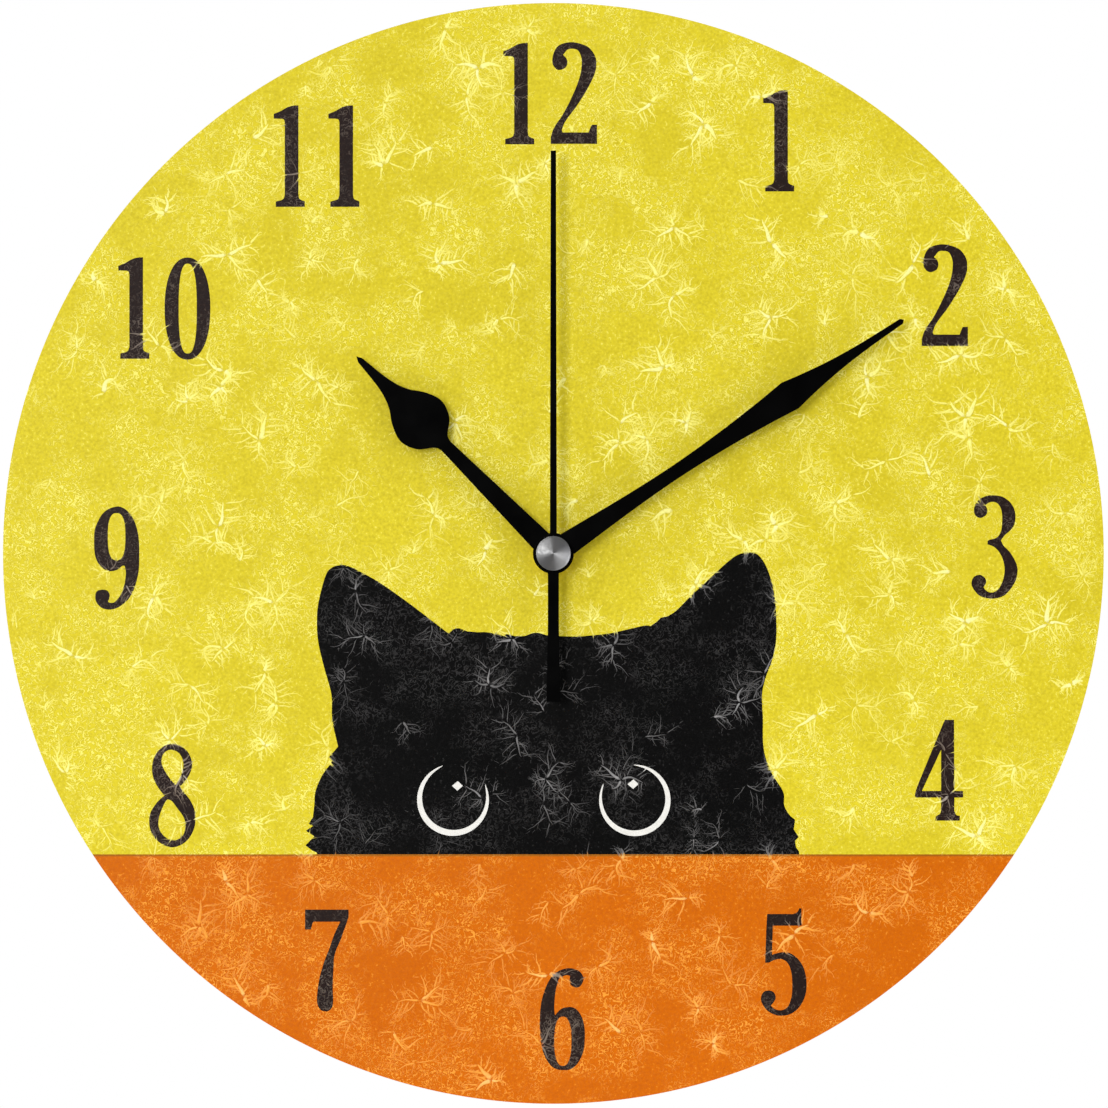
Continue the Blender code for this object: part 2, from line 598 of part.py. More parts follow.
def make_train():
    """Every wheel, with the phases worked out from one mesh to the next."""
    plastic = finish("acetal", (0.85, 0.84, 0.80), 0.5)
    steel = finish("steel", (0.60, 0.60, 0.62), 0.25, 1.0)
    brass = finish("drawn_brass", (0.80, 0.58, 0.25), 0.3, 1.0)
    black = finish("black_enamel", (0.01, 0.01, 0.01), 0.4)
    black_plastic = finish("knob_plastic", (0.02, 0.02, 0.02), 0.5)

    second_axis = axis_empty("second_axis", CENTRE)
    intermediate_axis = axis_empty("intermediate_axis", INTERMEDIATE_AXIS)
    rotor_axis = axis_empty("rotor_axis", ROTOR_AXIS)
    third_axis = axis_empty("third_axis", THIRD_AXIS)
    centre_axis = axis_empty("centre_axis", CENTRE)
    minute_axis = axis_empty("minute_axis", MINUTE_AXIS)
    hour_axis = axis_empty("hour_axis", CENTRE)
    knob_axis = axis_empty("knob_axis", KNOB_AXIS)

    rotor_to_intermediate = meshing_phase(ROTOR_MESH.pinion, 0.0, ROTOR_BEARING + 180.0,
                                          ROTOR_MESH.wheel)
    intermediate_to_second = meshing_phase(INTERMEDIATE_MESH.pinion, 0.0,
                                           INTERMEDIATE_BEARING + 180.0, INTERMEDIATE_MESH.wheel)
    second_to_third = meshing_phase(SECOND_MESH.pinion, 0.0, THIRD_BEARING, SECOND_MESH.wheel)
    third_to_centre = meshing_phase(THIRD_MESH.pinion, 0.0, THIRD_BEARING + 180.0,
                                    THIRD_MESH.wheel)
    cannon_to_minute = meshing_phase(CANNON_MESH.pinion, 0.0, MINUTE_BEARING, CANNON_MESH.wheel)
    minute_to_hour = meshing_phase(MINUTE_MESH.pinion, 0.0, MINUTE_BEARING + 180.0,
                                   MINUTE_MESH.wheel)
    minute_to_knob = meshing_phase(CANNON_MESH.wheel, cannon_to_minute, KNOB_BEARING,
                                   CANNON_MESH.pinion)

    make_rotor(0.0, plastic, rotor_axis)
    make_intermediate_wheel(0.0, rotor_to_intermediate, plastic, intermediate_axis)
    make_second_wheel(intermediate_to_second, plastic, second_axis)
    make_second_arbor(steel, second_axis)
    make_third_wheel(second_to_third, plastic, third_axis)
    make_centre_wheel(third_to_centre, plastic, steel, centre_axis)
    make_cannon_pinion(0.0, brass, centre_axis)
    make_minute_wheel(cannon_to_minute, plastic, minute_axis)
    make_hour_wheel(minute_to_hour, plastic, hour_axis)
    make_setting_knob(minute_to_knob, black_plastic, knob_axis)
    make_hour_hand(black, hour_axis)
    make_minute_hand(black, brass, centre_axis)
    make_second_hand(black, brass, second_axis)
    make_centre_cap(second_axis)


# ---------------------------------------------------------------- motor and circuit


def make_motor():
    iron = finish("soft_iron", (0.45, 0.45, 0.47), 0.35, 1.0)
    nylon = finish("nylon", (0.75, 0.74, 0.68), 0.5)
    copper = finish("enamelled_copper", (0.55, 0.20, 0.08), 0.35, 1.0)
    stake_holes = [circle_points(STAKE_RADIUS + 0.3 * MM, place, 16) for place in STAKES]

    stator_outline = ((STATOR_LEFT, STATOR_BOTTOM), (CORE_RIGHT, STATOR_BOTTOM),
                      (CORE_RIGHT, STATOR_BOTTOM + STATOR_ARM),
                      (STATOR_INNER, STATOR_BOTTOM + STATOR_ARM),
                      (STATOR_INNER, STATOR_TOP - STATOR_ARM),
                      (CORE_RIGHT, STATOR_TOP - STATOR_ARM), (CORE_RIGHT, STATOR_TOP),
                      (STATOR_LEFT, STATOR_TOP))
    plate("stator_plate", STATOR, stator_outline,
          circle_points(STATOR_HOLE_RADIUS, ROTOR_AXIS), *stake_holes, made_of=iron)
    core = STATOR.ahead(CORE_THICKNESS)
    plate("coil_core", core,
          rectangle_points(CORE_LEFT, CORE_RIGHT, STATOR_BOTTOM, STATOR_TOP), *stake_holes,
          made_of=iron)

    bottom, top = BOBBIN_ENDS

    def around_core(name, margin, low, high, made_of=None):
        return block(name, CORE_LEFT - margin, CORE_RIGHT + margin, core.front - margin,
                     core.rear + margin, low, high, made_of=made_of)

    bobbin = around_core("coil_bobbin", SPOOL_MARGIN, bottom, top, nylon)
    join(bobbin, around_core("lower_flange", BOBBIN_MARGIN, bottom, bottom + BOBBIN_FLANGE),
         around_core("upper_flange", BOBBIN_MARGIN, top - BOBBIN_FLANGE, top))
    cut(bobbin, around_core("core_slot", RUNNING_GAP, bottom - MM, top + MM))
    winding = around_core("coil_winding", WINDING_MARGIN, bottom + BOBBIN_FLANGE + FIT_GAP,
                          top - BOBBIN_FLANGE - FIT_GAP, copper)
    cut(winding, around_core("winding_space", SPOOL_MARGIN + FIT_GAP, bottom, top))


def make_middle_plate():
    """An L-shaped plate that holds the motor, the circuit and two of the pivots."""
    plastic = finish("plate_plastic", (0.80, 0.78, 0.72), 0.5)
    inside = CASE_HALF_SIDE - CASE_WALL - 0.3 * MM
    step_x, step_z, bottom = 3.0 * MM, 18.5 * MM, -9.5 * MM
    outline = ((step_x, bottom), (inside, bottom), (inside, inside), (-inside, inside),
               (-inside, step_z), (step_x, step_z))
    made = plate("middle_plate", MIDDLE_PLATE, outline,
                 circle_points(WHEEL_PIVOT + RUNNING_GAP, INTERMEDIATE_AXIS, 16), made_of=plastic)
    join(made, rod("rotor_boss", 1.3 * MM, MIDDLE_PLATE.front + 0.2 * MM, -6.1 * MM, ROTOR_AXIS))
    for number, place in enumerate(STAKES):
        join(made, rod(f"stake_{number}", STAKE_RADIUS, MIDDLE_PLATE.front + 0.2 * MM,
                       STATOR.rear + 0.3 * MM, place, sides=12))
    cut(made, rod("rotor_hole", WHEEL_PIVOT + RUNNING_GAP, -7.8 * MM, -5 * MM, ROTOR_AXIS,
                  sides=12))


def make_circuit():
    phenolic = finish("phenolic", (0.35, 0.18, 0.06), 0.6)
    epoxy = finish("epoxy", (0.02, 0.02, 0.02), 0.3)
    tin = finish("tinned_can", (0.65, 0.65, 0.66), 0.3, 1.0)
    plate("circuit_board", CIRCUIT_BOARD, rectangle_points(11.5 * MM, 21.0 * MM, -9.3 * MM,
                                                           0.5 * MM), made_of=phenolic)
    chip_rear = CIRCUIT_BOARD.rear + FIT_GAP
    rounding = [(2.4 * MM * math.cos(math.radians(a)),
                 chip_rear + 1.1 * MM * math.sin(math.radians(a))) for a in (0, 25, 50, 75)]
    turned("driver_chip", [(0, chip_rear), *rounding, (0, chip_rear + 1.1 * MM)],
           (15.0 * MM, -3.2 * MM), 24, epoxy)
    crystal = rod("quartz_crystal", 1.0 * MM, -3.0 * MM, 3.0 * MM, sides=12, made_of=tin)
    crystal.rotation_euler.x = math.radians(90)
    crystal.location = (19.3 * MM, CIRCUIT_BOARD.rear + 1.05 * MM, -3.4 * MM)


# ---------------------------------------------------------------- case


def make_front_case(black):
    """The half of the case that touches the disc, open at the rear and along the bay."""
    side, wall = CASE_HALF_SIDE, CASE_WALL
    bottom = BAY_TOP + 0.2 * MM
    rear = CASE_SPLIT - 0.1 * MM
    floor = CASE.front + wall
    case = plate("front_case", Layer(CASE.front, rear),
                 rectangle_points(-side, side, bottom, side), made_of=black)
    cut(case, block("front_cavity", wall - side, side - wall, floor, rear + MM, bottom - MM,
                    side - wall))
    for number, place in enumerate(PLATE_POSTS):
        join(case, rod(f"front_post_{number}", 1.2 * MM, floor - MM / 2,
                       MIDDLE_PLATE.front - FIT_GAP, place, sides=12))
    join(case, rod("minute_post", MINUTE_POST, floor - MM / 2, -11.5 * MM, MINUTE_AXIS, sides=12),
         bearing("third_front_bearing", THIRD_AXIS, -11.6 * MM, floor - MM / 2,
                 WHEEL_PIVOT + RUNNING_GAP, -12.8 * MM),
         bearing("knob_bearing", KNOB_AXIS, -13.0 * MM, floor - MM / 2,
                 MINUTE_POST + RUNNING_GAP, -14.6 * MM))
    join(case, *clips("clip"))
    flange_space = CASE.front + wall - BUSHING_FLANGE_HEIGHT - FIT_GAP
    cut(case, rod("flange_seat", BUSHING_FLANGE_RADIUS + RUNNING_GAP, flange_space,
                  floor + MM / 2),
        rod("bushing_hole", BUSHING_RADIUS + RUNNING_GAP, CASE.front - MM, floor))


def clips(name, gap=0.0):
    """The snap tongues of the side and top walls or, with a gap round them, their notches."""
    half, wall = CLIP_WIDTH / 2 + gap, CASE_WALL - 0.2 * MM
    inner, outer = CASE_HALF_SIDE - wall - 2 * gap, CASE_HALF_SIDE + gap
    front, rear = CASE_SPLIT - MM, CASE_SPLIT + CLIP_REACH + gap
    low, high = CLIP_HEIGHT - half, CLIP_HEIGHT + half
    return (block(f"{name}_left", -outer, -inner, front, rear, low, high),
            block(f"{name}_right", inner, outer, front, rear, low, high),
            block(f"{name}_top", -half, half, front, rear, inner, outer))


def make_hanger():
    """The tab above the case, to be joined to it."""
    shoulder = 3.0 * MM
    outline = rectangle_points(-HANGER_HALF_WIDTH, HANGER_HALF_WIDTH, CASE_HALF_SIDE - MM,
                               HANGER_TOP, shoulder)
    return plate("hanger_tab", Layer(-HANGER_THICKNESS, 0.0), outline)


def nail_opening():
    """A round hole that a nail's head passes, with a slot above it that the nail rests in."""
    spread = math.degrees(math.asin(NAIL_SLOT_RADIUS / NAIL_HOLE_RADIUS))
    lower = arc_points(NAIL_HOLE_RADIUS, (0.0, NAIL_HOLE_HEIGHT), spread, 360.0 - spread, 20)
    upper = arc_points(NAIL_SLOT_RADIUS, (0.0, NAIL_SLOT_HEIGHT), -90.0, 90.0, 8)
    return plate("nail_opening", Layer(-HANGER_THICKNESS - MM, MM), [*lower, *upper])


def make_rear_case(black):
    """The half of the case with the cell bay, the knob's recess and the hanger."""
    side, wall = CASE_HALF_SIDE, CASE_WALL
    case = plate("rear_case", Layer(CASE_SPLIT, 0.0),
                 rectangle_points(-side, side, BAY_TOP - BAY_WALL, side), made_of=black)
    cut(case, block("rear_cavity", wall - side, side - wall, CASE_SPLIT - MM, -wall,
                    BAY_TOP, side - wall))
    join(case, block("bay_box", -side, side, CASE.front, 0.0, -side, BAY_TOP))
    cut(case, block("bay_space", -side + BAY_WALL + 0.1 * MM, side - BAY_WALL - 0.1 * MM,
                    CASE.front + BAY_FLOOR, MM, -side + BAY_WALL, BAY_TOP - BAY_WALL))
    join(case, make_hanger())
    join(case, rod("knob_cup", KNOB_RECESS + MM, -4.1 * MM, -wall / 2, KNOB_AXIS, sides=32))
    pivot_hole = WHEEL_PIVOT + RUNNING_GAP
    for name, place, mouth, hole, depth in (
            ("second_bearing", CENTRE, -4.2 * MM, SECOND_ARBOR + RUNNING_GAP, -1.3 * MM),
            ("intermediate_bearing", INTERMEDIATE_AXIS, -4.4 * MM, pivot_hole, -1.3 * MM),
            ("third_bearing", THIRD_AXIS, -8.1 * MM, pivot_hole, -6.9 * MM),
            ("rotor_bearing", ROTOR_AXIS, -1.8 * MM, pivot_hole, -1.3 * MM)):
        join(case, bearing(name, place, mouth, -wall / 2, hole, depth))
    for number, place in enumerate(PLATE_POSTS):
        join(case, rod(f"rear_post_{number}", 1.2 * MM, MIDDLE_PLATE.rear + FIT_GAP, -wall / 2,
                       place, sides=12))
    cut(case, *clips("notch", 0.2 * MM))
    cut(case, nail_opening(),
        rod("knob_recess", KNOB_RECESS, -3.1 * MM, MM, KNOB_AXIS, sides=32),
        rod("knob_shaft_hole", 1.3 * MM, -5 * MM, -2.5 * MM, KNOB_AXIS, sides=12))
    for number, x in enumerate((-26.45 * MM, 26.45 * MM)):
        cut(case, block(f"contact_slot_{number}", x - 0.42 * MM, x + 0.42 * MM,
                        CONTACT_TAIL[0] - 0.2 * MM, CONTACT_TAIL[1] + 0.2 * MM,
                        BAY_TOP - BAY_WALL - MM / 2, BAY_TOP + MM / 2))


# ---------------------------------------------------------------- cell and contacts


def make_cell():
    """An AA cell: a steel can with its nub at +X, in a thin sleeve that folds over its ends."""
    steel = finish("cell_steel", (0.62, 0.62, 0.62), 0.3, 1.0)
    sleeve_plastic = finish("cell_sleeve", (0.10, 0.25, 0.45), 0.35)
    first, last = CELL_ENDS
    inner = CELL_RADIUS - CELL_SLEEVE
    fold, lip = 1.0 * MM, 0.15 * MM
    can = turned("cell_can",
                 ((0, first + lip), (inner - fold, first + lip), (inner - fold, first + 2 * lip),
                  (inner - FIT_GAP, first + 2 * lip), (inner - FIT_GAP, last - 2 * lip),
                  (CELL_NUB_RADIUS, last - 2 * lip), (CELL_NUB_RADIUS, last + CELL_NUB_HEIGHT),
                  (0, last + CELL_NUB_HEIGHT)), sides=24, made_of=steel)
    sleeve = turned("cell_sleeve",
                    ((CELL_RADIUS, first), (CELL_RADIUS, last), (inner - fold, last),
                     (inner - fold, last - lip), (inner, last - lip), (inner, first + lip),
                     (inner - fold, first + lip), (inner - fold, first)), sides=24,
                    made_of=sleeve_plastic)
    for piece in (can, sleeve):
        piece.rotation_euler.z = math.radians(-90)
        piece.location = (0.0, CELL_AXIS[0], CELL_AXIS[1])


def make_contacts():
    """The stamped strips at the ends of the bay, each with a tail to the circuit board."""
    tin = finish("nickel_strip", (0.70, 0.70, 0.70), 0.3, 1.0)
    pad_front, pad_rear = CELL_AXIS[0] - 4.0 * MM, CELL_AXIS[0] + 4.0 * MM
    pad_bottom, pad_top = CELL_AXIS[1] - 4.0 * MM, CELL_AXIS[1] + 4.0 * MM
    outer, thick = 26.6 * MM, CONTACT_THICKNESS
    tail = Layer(*CONTACT_TAIL)

    right_tail = ((outer - thick, pad_bottom), (outer, pad_bottom), (outer, -8.3 * MM),
                  (19.6 * MM, -8.3 * MM), (19.6 * MM, -8.3 * MM - thick),
                  (outer - thick, -8.3 * MM - thick))
    positive = plate("positive_contact", tail, right_tail, made_of=tin)
    join(positive, block("positive_pad", outer - thick, outer, pad_front, pad_rear, pad_bottom,
                         pad_top))

    wall_top, board_end = BAY_TOP + 0.4 * MM, 12.6 * MM
    left_tail = ((-outer, pad_bottom), (thick - outer, pad_bottom), (thick - outer, wall_top),
                 (board_end, wall_top), (board_end, -8.6 * MM), (board_end - thick, -8.6 * MM),
                 (board_end - thick, wall_top + thick), (-outer, wall_top + thick))
    negative = plate("negative_contact", tail, left_tail, made_of=tin)
    bow = [(-outer + 1.4 * MM * math.cos(math.radians(a)), CELL_AXIS[1] + 4.0 * MM
            * math.sin(math.radians(a))) for a in range(-90, 91, 15)]
    inner_bow = [(x - thick, z) for x, z in reversed(bow)]
    join(negative, plate("negative_bow", Layer(pad_front, pad_rear), [*bow, *inner_bow]))


def main():
    clear_scene()
    black = finish("black_case", (0.02, 0.02, 0.02), 0.5)
    make_disc()
    make_fixings()
    make_train()
    make_motor()
    make_middle_plate()
    make_circuit()
    make_front_case(black)
    make_rear_case(black)
    make_cell()
    make_contacts()


if __name__ == "__main__":
    main()
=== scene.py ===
"""Looks of a round wall clock with a printed face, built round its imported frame.

The face looks along -Y, +X is to the right of a reader and +Z is up. Shapes are in metres, and
what is drawn on the face is in millimetres from the axis of the hands. Angles are clockwise
from twelve, in degrees.
"""

import json
import logging
import math
from dataclasses import dataclass, replace
from enum import Enum
from typing import NamedTuple

import bmesh
import bpy
import numpy as np
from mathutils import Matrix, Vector
from mathutils.geometry import delaunay_2d_cdt

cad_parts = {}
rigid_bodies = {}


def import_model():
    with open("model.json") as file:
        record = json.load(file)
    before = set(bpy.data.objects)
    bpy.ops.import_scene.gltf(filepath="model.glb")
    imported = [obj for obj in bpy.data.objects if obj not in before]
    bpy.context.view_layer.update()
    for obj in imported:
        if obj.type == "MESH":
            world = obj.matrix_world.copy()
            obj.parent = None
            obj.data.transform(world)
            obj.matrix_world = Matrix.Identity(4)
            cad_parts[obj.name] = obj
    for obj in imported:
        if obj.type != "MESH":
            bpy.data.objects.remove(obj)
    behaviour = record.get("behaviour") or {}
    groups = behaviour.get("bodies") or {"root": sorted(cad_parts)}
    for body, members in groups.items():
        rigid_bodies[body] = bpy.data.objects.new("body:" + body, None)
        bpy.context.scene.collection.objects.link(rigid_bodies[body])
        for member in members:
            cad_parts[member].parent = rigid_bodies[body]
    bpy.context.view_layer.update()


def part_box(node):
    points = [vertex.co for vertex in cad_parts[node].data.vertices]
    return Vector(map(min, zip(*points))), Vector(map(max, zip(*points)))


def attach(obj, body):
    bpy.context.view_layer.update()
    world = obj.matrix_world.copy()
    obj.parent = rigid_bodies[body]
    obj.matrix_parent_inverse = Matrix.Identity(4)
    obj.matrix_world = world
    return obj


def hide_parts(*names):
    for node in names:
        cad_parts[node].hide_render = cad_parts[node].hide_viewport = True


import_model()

MM = 0.001
# How far apart nodes and their rows are drawn
NODE_STEP = 230.0
NODE_ROW = 260.0
# The rounding of the edges of thin pieces
FINE_EDGE = 0.06 * MM

Array = np.ndarray
Colour = tuple[float, float, float]
Point = tuple[float, float]
Run = tuple[Point, ...] | Point

log = logging.getLogger("clock")


class Body(Enum):
    """The bodies of the frame that new pieces ride on."""

    CLOCK = "clock_body"
    SECOND = "second_group"
    MINUTE = "minute_group"
    HOUR = "hour_group"
    KNOB = "knob_group"
    CELL = "cell"


class Slot(Enum):
    """The record's material slots, by name; no piece here is given one."""

    BOARD = "fibreboard"
    FILM = "printed_film"
    RUBBER = "rubber"
    BRASS = "brass"
    ENAMEL = "black_enamel"
    BRIGHT = "bright_metal"
    BLACK = "black_plastic"
    CELL_METAL = "cell_metal"
    SLEEVE = "cell_sleeve"
    NICKEL = "nickel_strip"


class Shape(NamedTuple):
    """A mesh as arrays: its points, and its faces, all with the same number of corners."""

    points: Array
    faces: Array


# Curves and outlines


def through(points: Array, steps: int) -> Array:
    """A smooth curve through points, without the last of them.

    Each span is the cubic that leaves its first point along the line between that point's
    neighbours, and reaches its second point in the same way.

    Args:
        points: The points, one in each row.
        steps: How many pieces each span is cut into.

    Returns:
        The points of the curve, one in each row.
    """
    ends = np.vstack([2 * points[:1] - points[1:2], points, 2 * points[-1:] - points[-2:-1]])
    spans = len(points) - 1
    before, start, end, after = (ends[i:i + spans, None, :] for i in range(4))
    t = (np.arange(steps) / steps)[None, :, None]
    curve = 0.5 * (2 * start + (end - before) * t
                   + (2 * before - 5 * start + 4 * end - after) * t ** 2
                   + (3 * start - before - 3 * end + after) * t ** 3)
    return curve.reshape(-1, points.shape[1])


def outline(runs: tuple[Run, ...], steps: int = 4) -> Array:
    """A closed outline of smooth runs that meet at corners.

    Args:
        runs: Each run's points, or the one point where a straight side starts. A run ends at
            the first point of the next. A single run closes on itself with no corner.
        steps: How many pieces each span of a curved run is cut into.

    Returns:
        The points of the outline, one in each row.
    """
    if len(runs) == 1:
        loop = np.array(runs[0])
        wrapped = np.vstack([loop[-2:], loop, loop[:3]])
        return through(wrapped, steps)[2 * steps:(len(loop) + 2) * steps]
    parts = [np.atleast_2d(run) for run in runs]
    sides = [through(np.vstack([part, following[:1]]), steps) if len(part) > 1 else part
             for part, following in zip(parts, parts[1:] + parts[:1])]
    return np.concatenate(sides)


def arc(radius: float, first: float, last: float, steps: int, centre: Point = (0, 0)) -> Array:
    """Points of an arc: the centre plus the radius times the sine and cosine of each angle.

    Args:
        radius: The arc's radius.
        first: The angle that it starts at, clockwise from twelve, in degrees.
        last: The angle that it ends at.
        steps: How many pieces it is cut into.
        centre: Its centre.

    Returns:
        The points, one in each row, with both ends.
    """
    angle = np.radians(np.linspace(first, last, steps + 1))
    return np.array(centre) + radius * np.column_stack([np.sin(angle), np.cos(angle)])


def circle(radius: float, sides: int, centre: Point = (0, 0)) -> Array:
    """Points of a whole circle, each one once."""
    return arc(radius, 0.0, 360.0, sides, centre)[:-1]


def softened(loop: Array, radii: Array | float, steps: int = 3) -> Array:
    """A closed loop with its corners rounded.

    Each corner becomes the parabola that touches both of its sides at the corner's radius
    from it, or at half of the shorter side if that is less.

    Args:
        loop: The corners, one in each row.
        radii: The radius of every corner, or of each in turn.
        steps: How many pieces each rounding is cut into.

    Returns:
        The points of the rounded loop.
    """
    before, after = np.roll(loop, 1, axis=0) - loop, np.roll(loop, -1, axis=0) - loop
    lengths = [np.linalg.norm(side, axis=1, keepdims=True) for side in (before, after)]
    reach = np.minimum(np.broadcast_to(np.asarray(radii, float).reshape(-1, 1), (len(loop), 1)),
                       np.minimum(*lengths) / 2)
    start = loop + before / np.maximum(lengths[0], 1e-12) * reach
    end = loop + after / np.maximum(lengths[1], 1e-12) * reach
    t = (np.arange(steps + 1) / steps)[None, :, None]
    curve = (1 - t) ** 2 * start[:, None] + 2 * t * (1 - t) * loop[:, None] + t ** 2 * end[:, None]
    return curve.reshape(-1, loop.shape[1])


def inside(points: Array, loop: Array) -> Array:
    """Which points lie inside a closed loop.

    A point is inside if a line from it towards +X crosses the loop an odd number of times.

    Args:
        points: The points to test, one in each row.
        loop: The corners of the loop.

    Returns:
        One truth value for each point.
    """
    found = np.zeros(len(points), bool)
    near = np.flatnonzero(((points >= loop.min(0)) & (points <= loop.max(0))).all(axis=1))
    if not near.size:
        return found
    x, z = points[near, :1], points[near, 1:]
    start, end = loop, np.roll(loop, -1, axis=0)
    spans = (start[:, 1] > z) != (end[:, 1] > z)
    rise = np.where(end[:, 1] == start[:, 1], 1e-12, end[:, 1] - start[:, 1])
    crossing = start[:, 0] + (z - start[:, 1]) * (end[:, 0] - start[:, 0]) / rise
    found[near] = (spans & (x < crossing)).sum(axis=1) % 2 == 1
    return found


# Shapes


def filled(loops: list[Array]) -> Shape:
    """Triangles between outlines, by constrained Delaunay triangulation.

    Args:
        loops: Closed outlines on the XZ plane. They may cross.

    Returns:
        The flat points, and triangles that run anticlockwise as X and Z are drawn, over the
        whole of the loops' convex hull.
    """
    corners = [Vector(point) for loop in loops for point in loop]
    edges = []
    first = 0
    for loop in loops:
        index = np.arange(len(loop))
        edges += np.column_stack([first + index, first + (index + 1) % len(loop)]).tolist()
        first += len(loop)
    points, _, triangles, *_ = delaunay_2d_cdt(corners, edges, [], 0, 1e-7)
    points, triangles = np.array([tuple(p) for p in points]), np.array(triangles)
    a, b, c = (points[triangles[:, i]] for i in range(3))
    area = (b[:, 0] - a[:, 0]) * (c[:, 1] - a[:, 1]) - (b[:, 1] - a[:, 1]) * (c[:, 0] - a[:, 0])
    triangles[area < 0] = triangles[area < 0][:, ::-1]
    return Shape(points, triangles[np.abs(area) > 1e-9])


def used(shape: Shape) -> Shape:
    """The shape without the points that none of its faces touch."""
    kept, faces = np.unique(shape.faces, return_inverse=True)
    return Shape(shape.points[kept], faces.reshape(shape.faces.shape))


def thickened(flat: Shape, front: float, rear: float) -> Shape:
    """A plate: the flat shape at two depths, joined by a wall along each of its open edges.

    Args:
        flat: Points on the XZ plane, and triangles.
        front: The depth, along Y, of the side that looks along -Y.
        rear: The depth of the other side.

    Returns:
        The closed shape. Its first triangles are those of the flat shape, at the front.
    """
    count = len(flat.points)
    x, z = flat.points[:, 0], flat.points[:, 1]
    points = np.concatenate([np.column_stack([x, np.full(count, y), z]) for y in (front, rear)])
    ends = flat.faces[:, [[0, 1], [1, 2], [2, 0]]].reshape(-1, 2)
    open_ends = ends[~np.isin(ends[:, 0] * count + ends[:, 1], ends[:, 1] * count + ends[:, 0])]
    a, b = open_ends.T
    walls = np.concatenate([np.column_stack([b, a, a + count]),
                            np.column_stack([b, a + count, b + count])])
    return Shape(points, np.concatenate([flat.faces, flat.faces[:, ::-1] + count, walls]))


def plate(loops: list[Array], front: float, rear: float) -> Shape:
    """A flat plate whose outline is the first loop, with the others as holes through it.

    Args:
        loops: The outlines on the XZ plane, in metres.
        front: The depth of the side that looks along -Y.
        rear: The depth of the other side.

    Returns:
        The closed shape, in triangles.
    """
    flat = filled([loop / MM for loop in loops])
    middles = flat.points[flat.faces].mean(axis=1)
    kept = np.zeros(len(middles), bool)
    for loop in loops:
        kept ^= inside(middles, loop / MM)
    return thickened(used(Shape(flat.points * MM, flat.faces[kept])), front, rear)


def lattice(rows: int, columns: int) -> Array:
    """The quads of a grid that closes on itself both along its rows and along its columns.

    Args:
        rows: The number of rows of points.
        columns: The number of points in a row.

    Returns:
        The corners of each quad.
    """
    row, column = np.meshgrid(np.arange(rows), np.arange(columns), indexing="ij")
    down, right = (row + 1) % rows, (column + 1) % columns
    corners = (row * columns + column, row * columns + right, down * columns + right,
               down * columns + column)
    return np.stack(corners, axis=-1).reshape(-1, 4)


def turned(profile: Array, sides: int, centre: Point = (0, 0)) -> Shape:
    """A closed profile of radius and depth, carried round a line along Y.

    The point at angle a is the radius times the sine and cosine of a, at the profile's depth.

    Args:
        profile: Radius and depth, one pair in each row.
        sides: How many places it takes round the line.
        centre: The X and Z of the line.

    Returns:
        The shape, in quads, to be sealed where it meets the line.
    """
    angle = np.linspace(0.0, math.tau, sides, endpoint=False)
    radius, depth = profile[:, :1], profile[:, 1:]
    points = np.stack([centre[0] + radius * np.sin(angle), depth + 0 * angle,
                       centre[1] + radius * np.cos(angle)], axis=-1)
    return Shape(points.reshape(-1, 3), lattice(len(profile), sides))


def together(shapes: list[Shape]) -> Shape:
    """Several shapes of one kind of face as one shape."""
    starts = np.cumsum([0] + [len(shape.points) for shape in shapes[:-1]])
    return Shape(np.concatenate([shape.points for shape in shapes]),
                 np.concatenate([shape.faces + start for shape, start in zip(shapes, starts)]))


def mesh_of(name: str, shape: Shape) -> bpy.types.Mesh:
    """Puts a shape's arrays into a new mesh.

    Args:
        name: The mesh's name.
        shape: Its points and faces.

    Returns:
        The mesh.
    """
    mesh = bpy.data.meshes.new(name)
    mesh.vertices.add(len(shape.points))
    mesh.vertices.foreach_set("co", shape.points.astype(np.float32).ravel())
    mesh.loops.add(shape.faces.size)
    mesh.loops.foreach_set("vertex_index", shape.faces.astype(np.int32).ravel())
    mesh.polygons.add(len(shape.faces))
    mesh.polygons.foreach_set("loop_start", np.arange(0, shape.faces.size, shape.faces.shape[1]))
    mesh.update(calc_edges=True)
    return mesh


def seal(mesh: bpy.types.Mesh, within: float = 1e-7, flatten: float = 0.0) -> None:
    """Merges a mesh's doubled points and turns its faces outwards.

    Args:
        mesh: The mesh to seal.
        within: How near doubled points are, in metres.
        flatten: Faces that lie within this angle of each other become one, in radians.
    """
    work = bmesh.new()
    work.from_mesh(mesh)
    bmesh.ops.remove_doubles(work, verts=work.verts, dist=within)
    if flatten:
        bmesh.ops.dissolve_limit(work, angle_limit=flatten, verts=work.verts, edges=work.edges)
    bmesh.ops.recalc_face_normals(work, faces=work.faces)
    work.to_mesh(mesh)
    work.free()


def place(mesh: bpy.types.Mesh, body: Body, finishes: list[bpy.types.Material],
          replaced: tuple[str, ...] = (), crease: float = 35.0) -> bpy.types.Object:
    """Makes a mesh a piece of the clock.

    Args:
        mesh: The mesh, whose name becomes the piece's.
        body: The body that it rides on.
        finishes: Its materials.
        replaced: The frame's nodes that it stands for.
        crease: Edges sharper than this stay sharp, in degrees. Nothing is smoothed at 0.

    Returns:
        The piece.
    """
    if crease:
        mesh.shade_smooth()
        mesh.set_sharp_from_angle(angle=math.radians(crease))
    else:
        mesh.shade_flat()
    for finish in finishes:
        mesh.materials.append(finish)
    piece = bpy.data.objects.new(mesh.name, mesh)
    bpy.context.scene.collection.objects.link(piece)
    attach(piece, body.value)
    if replaced:
        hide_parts(*replaced)
    log.info("%s: %d faces on %s", piece.name, len(mesh.polygons), body.value)
    return piece


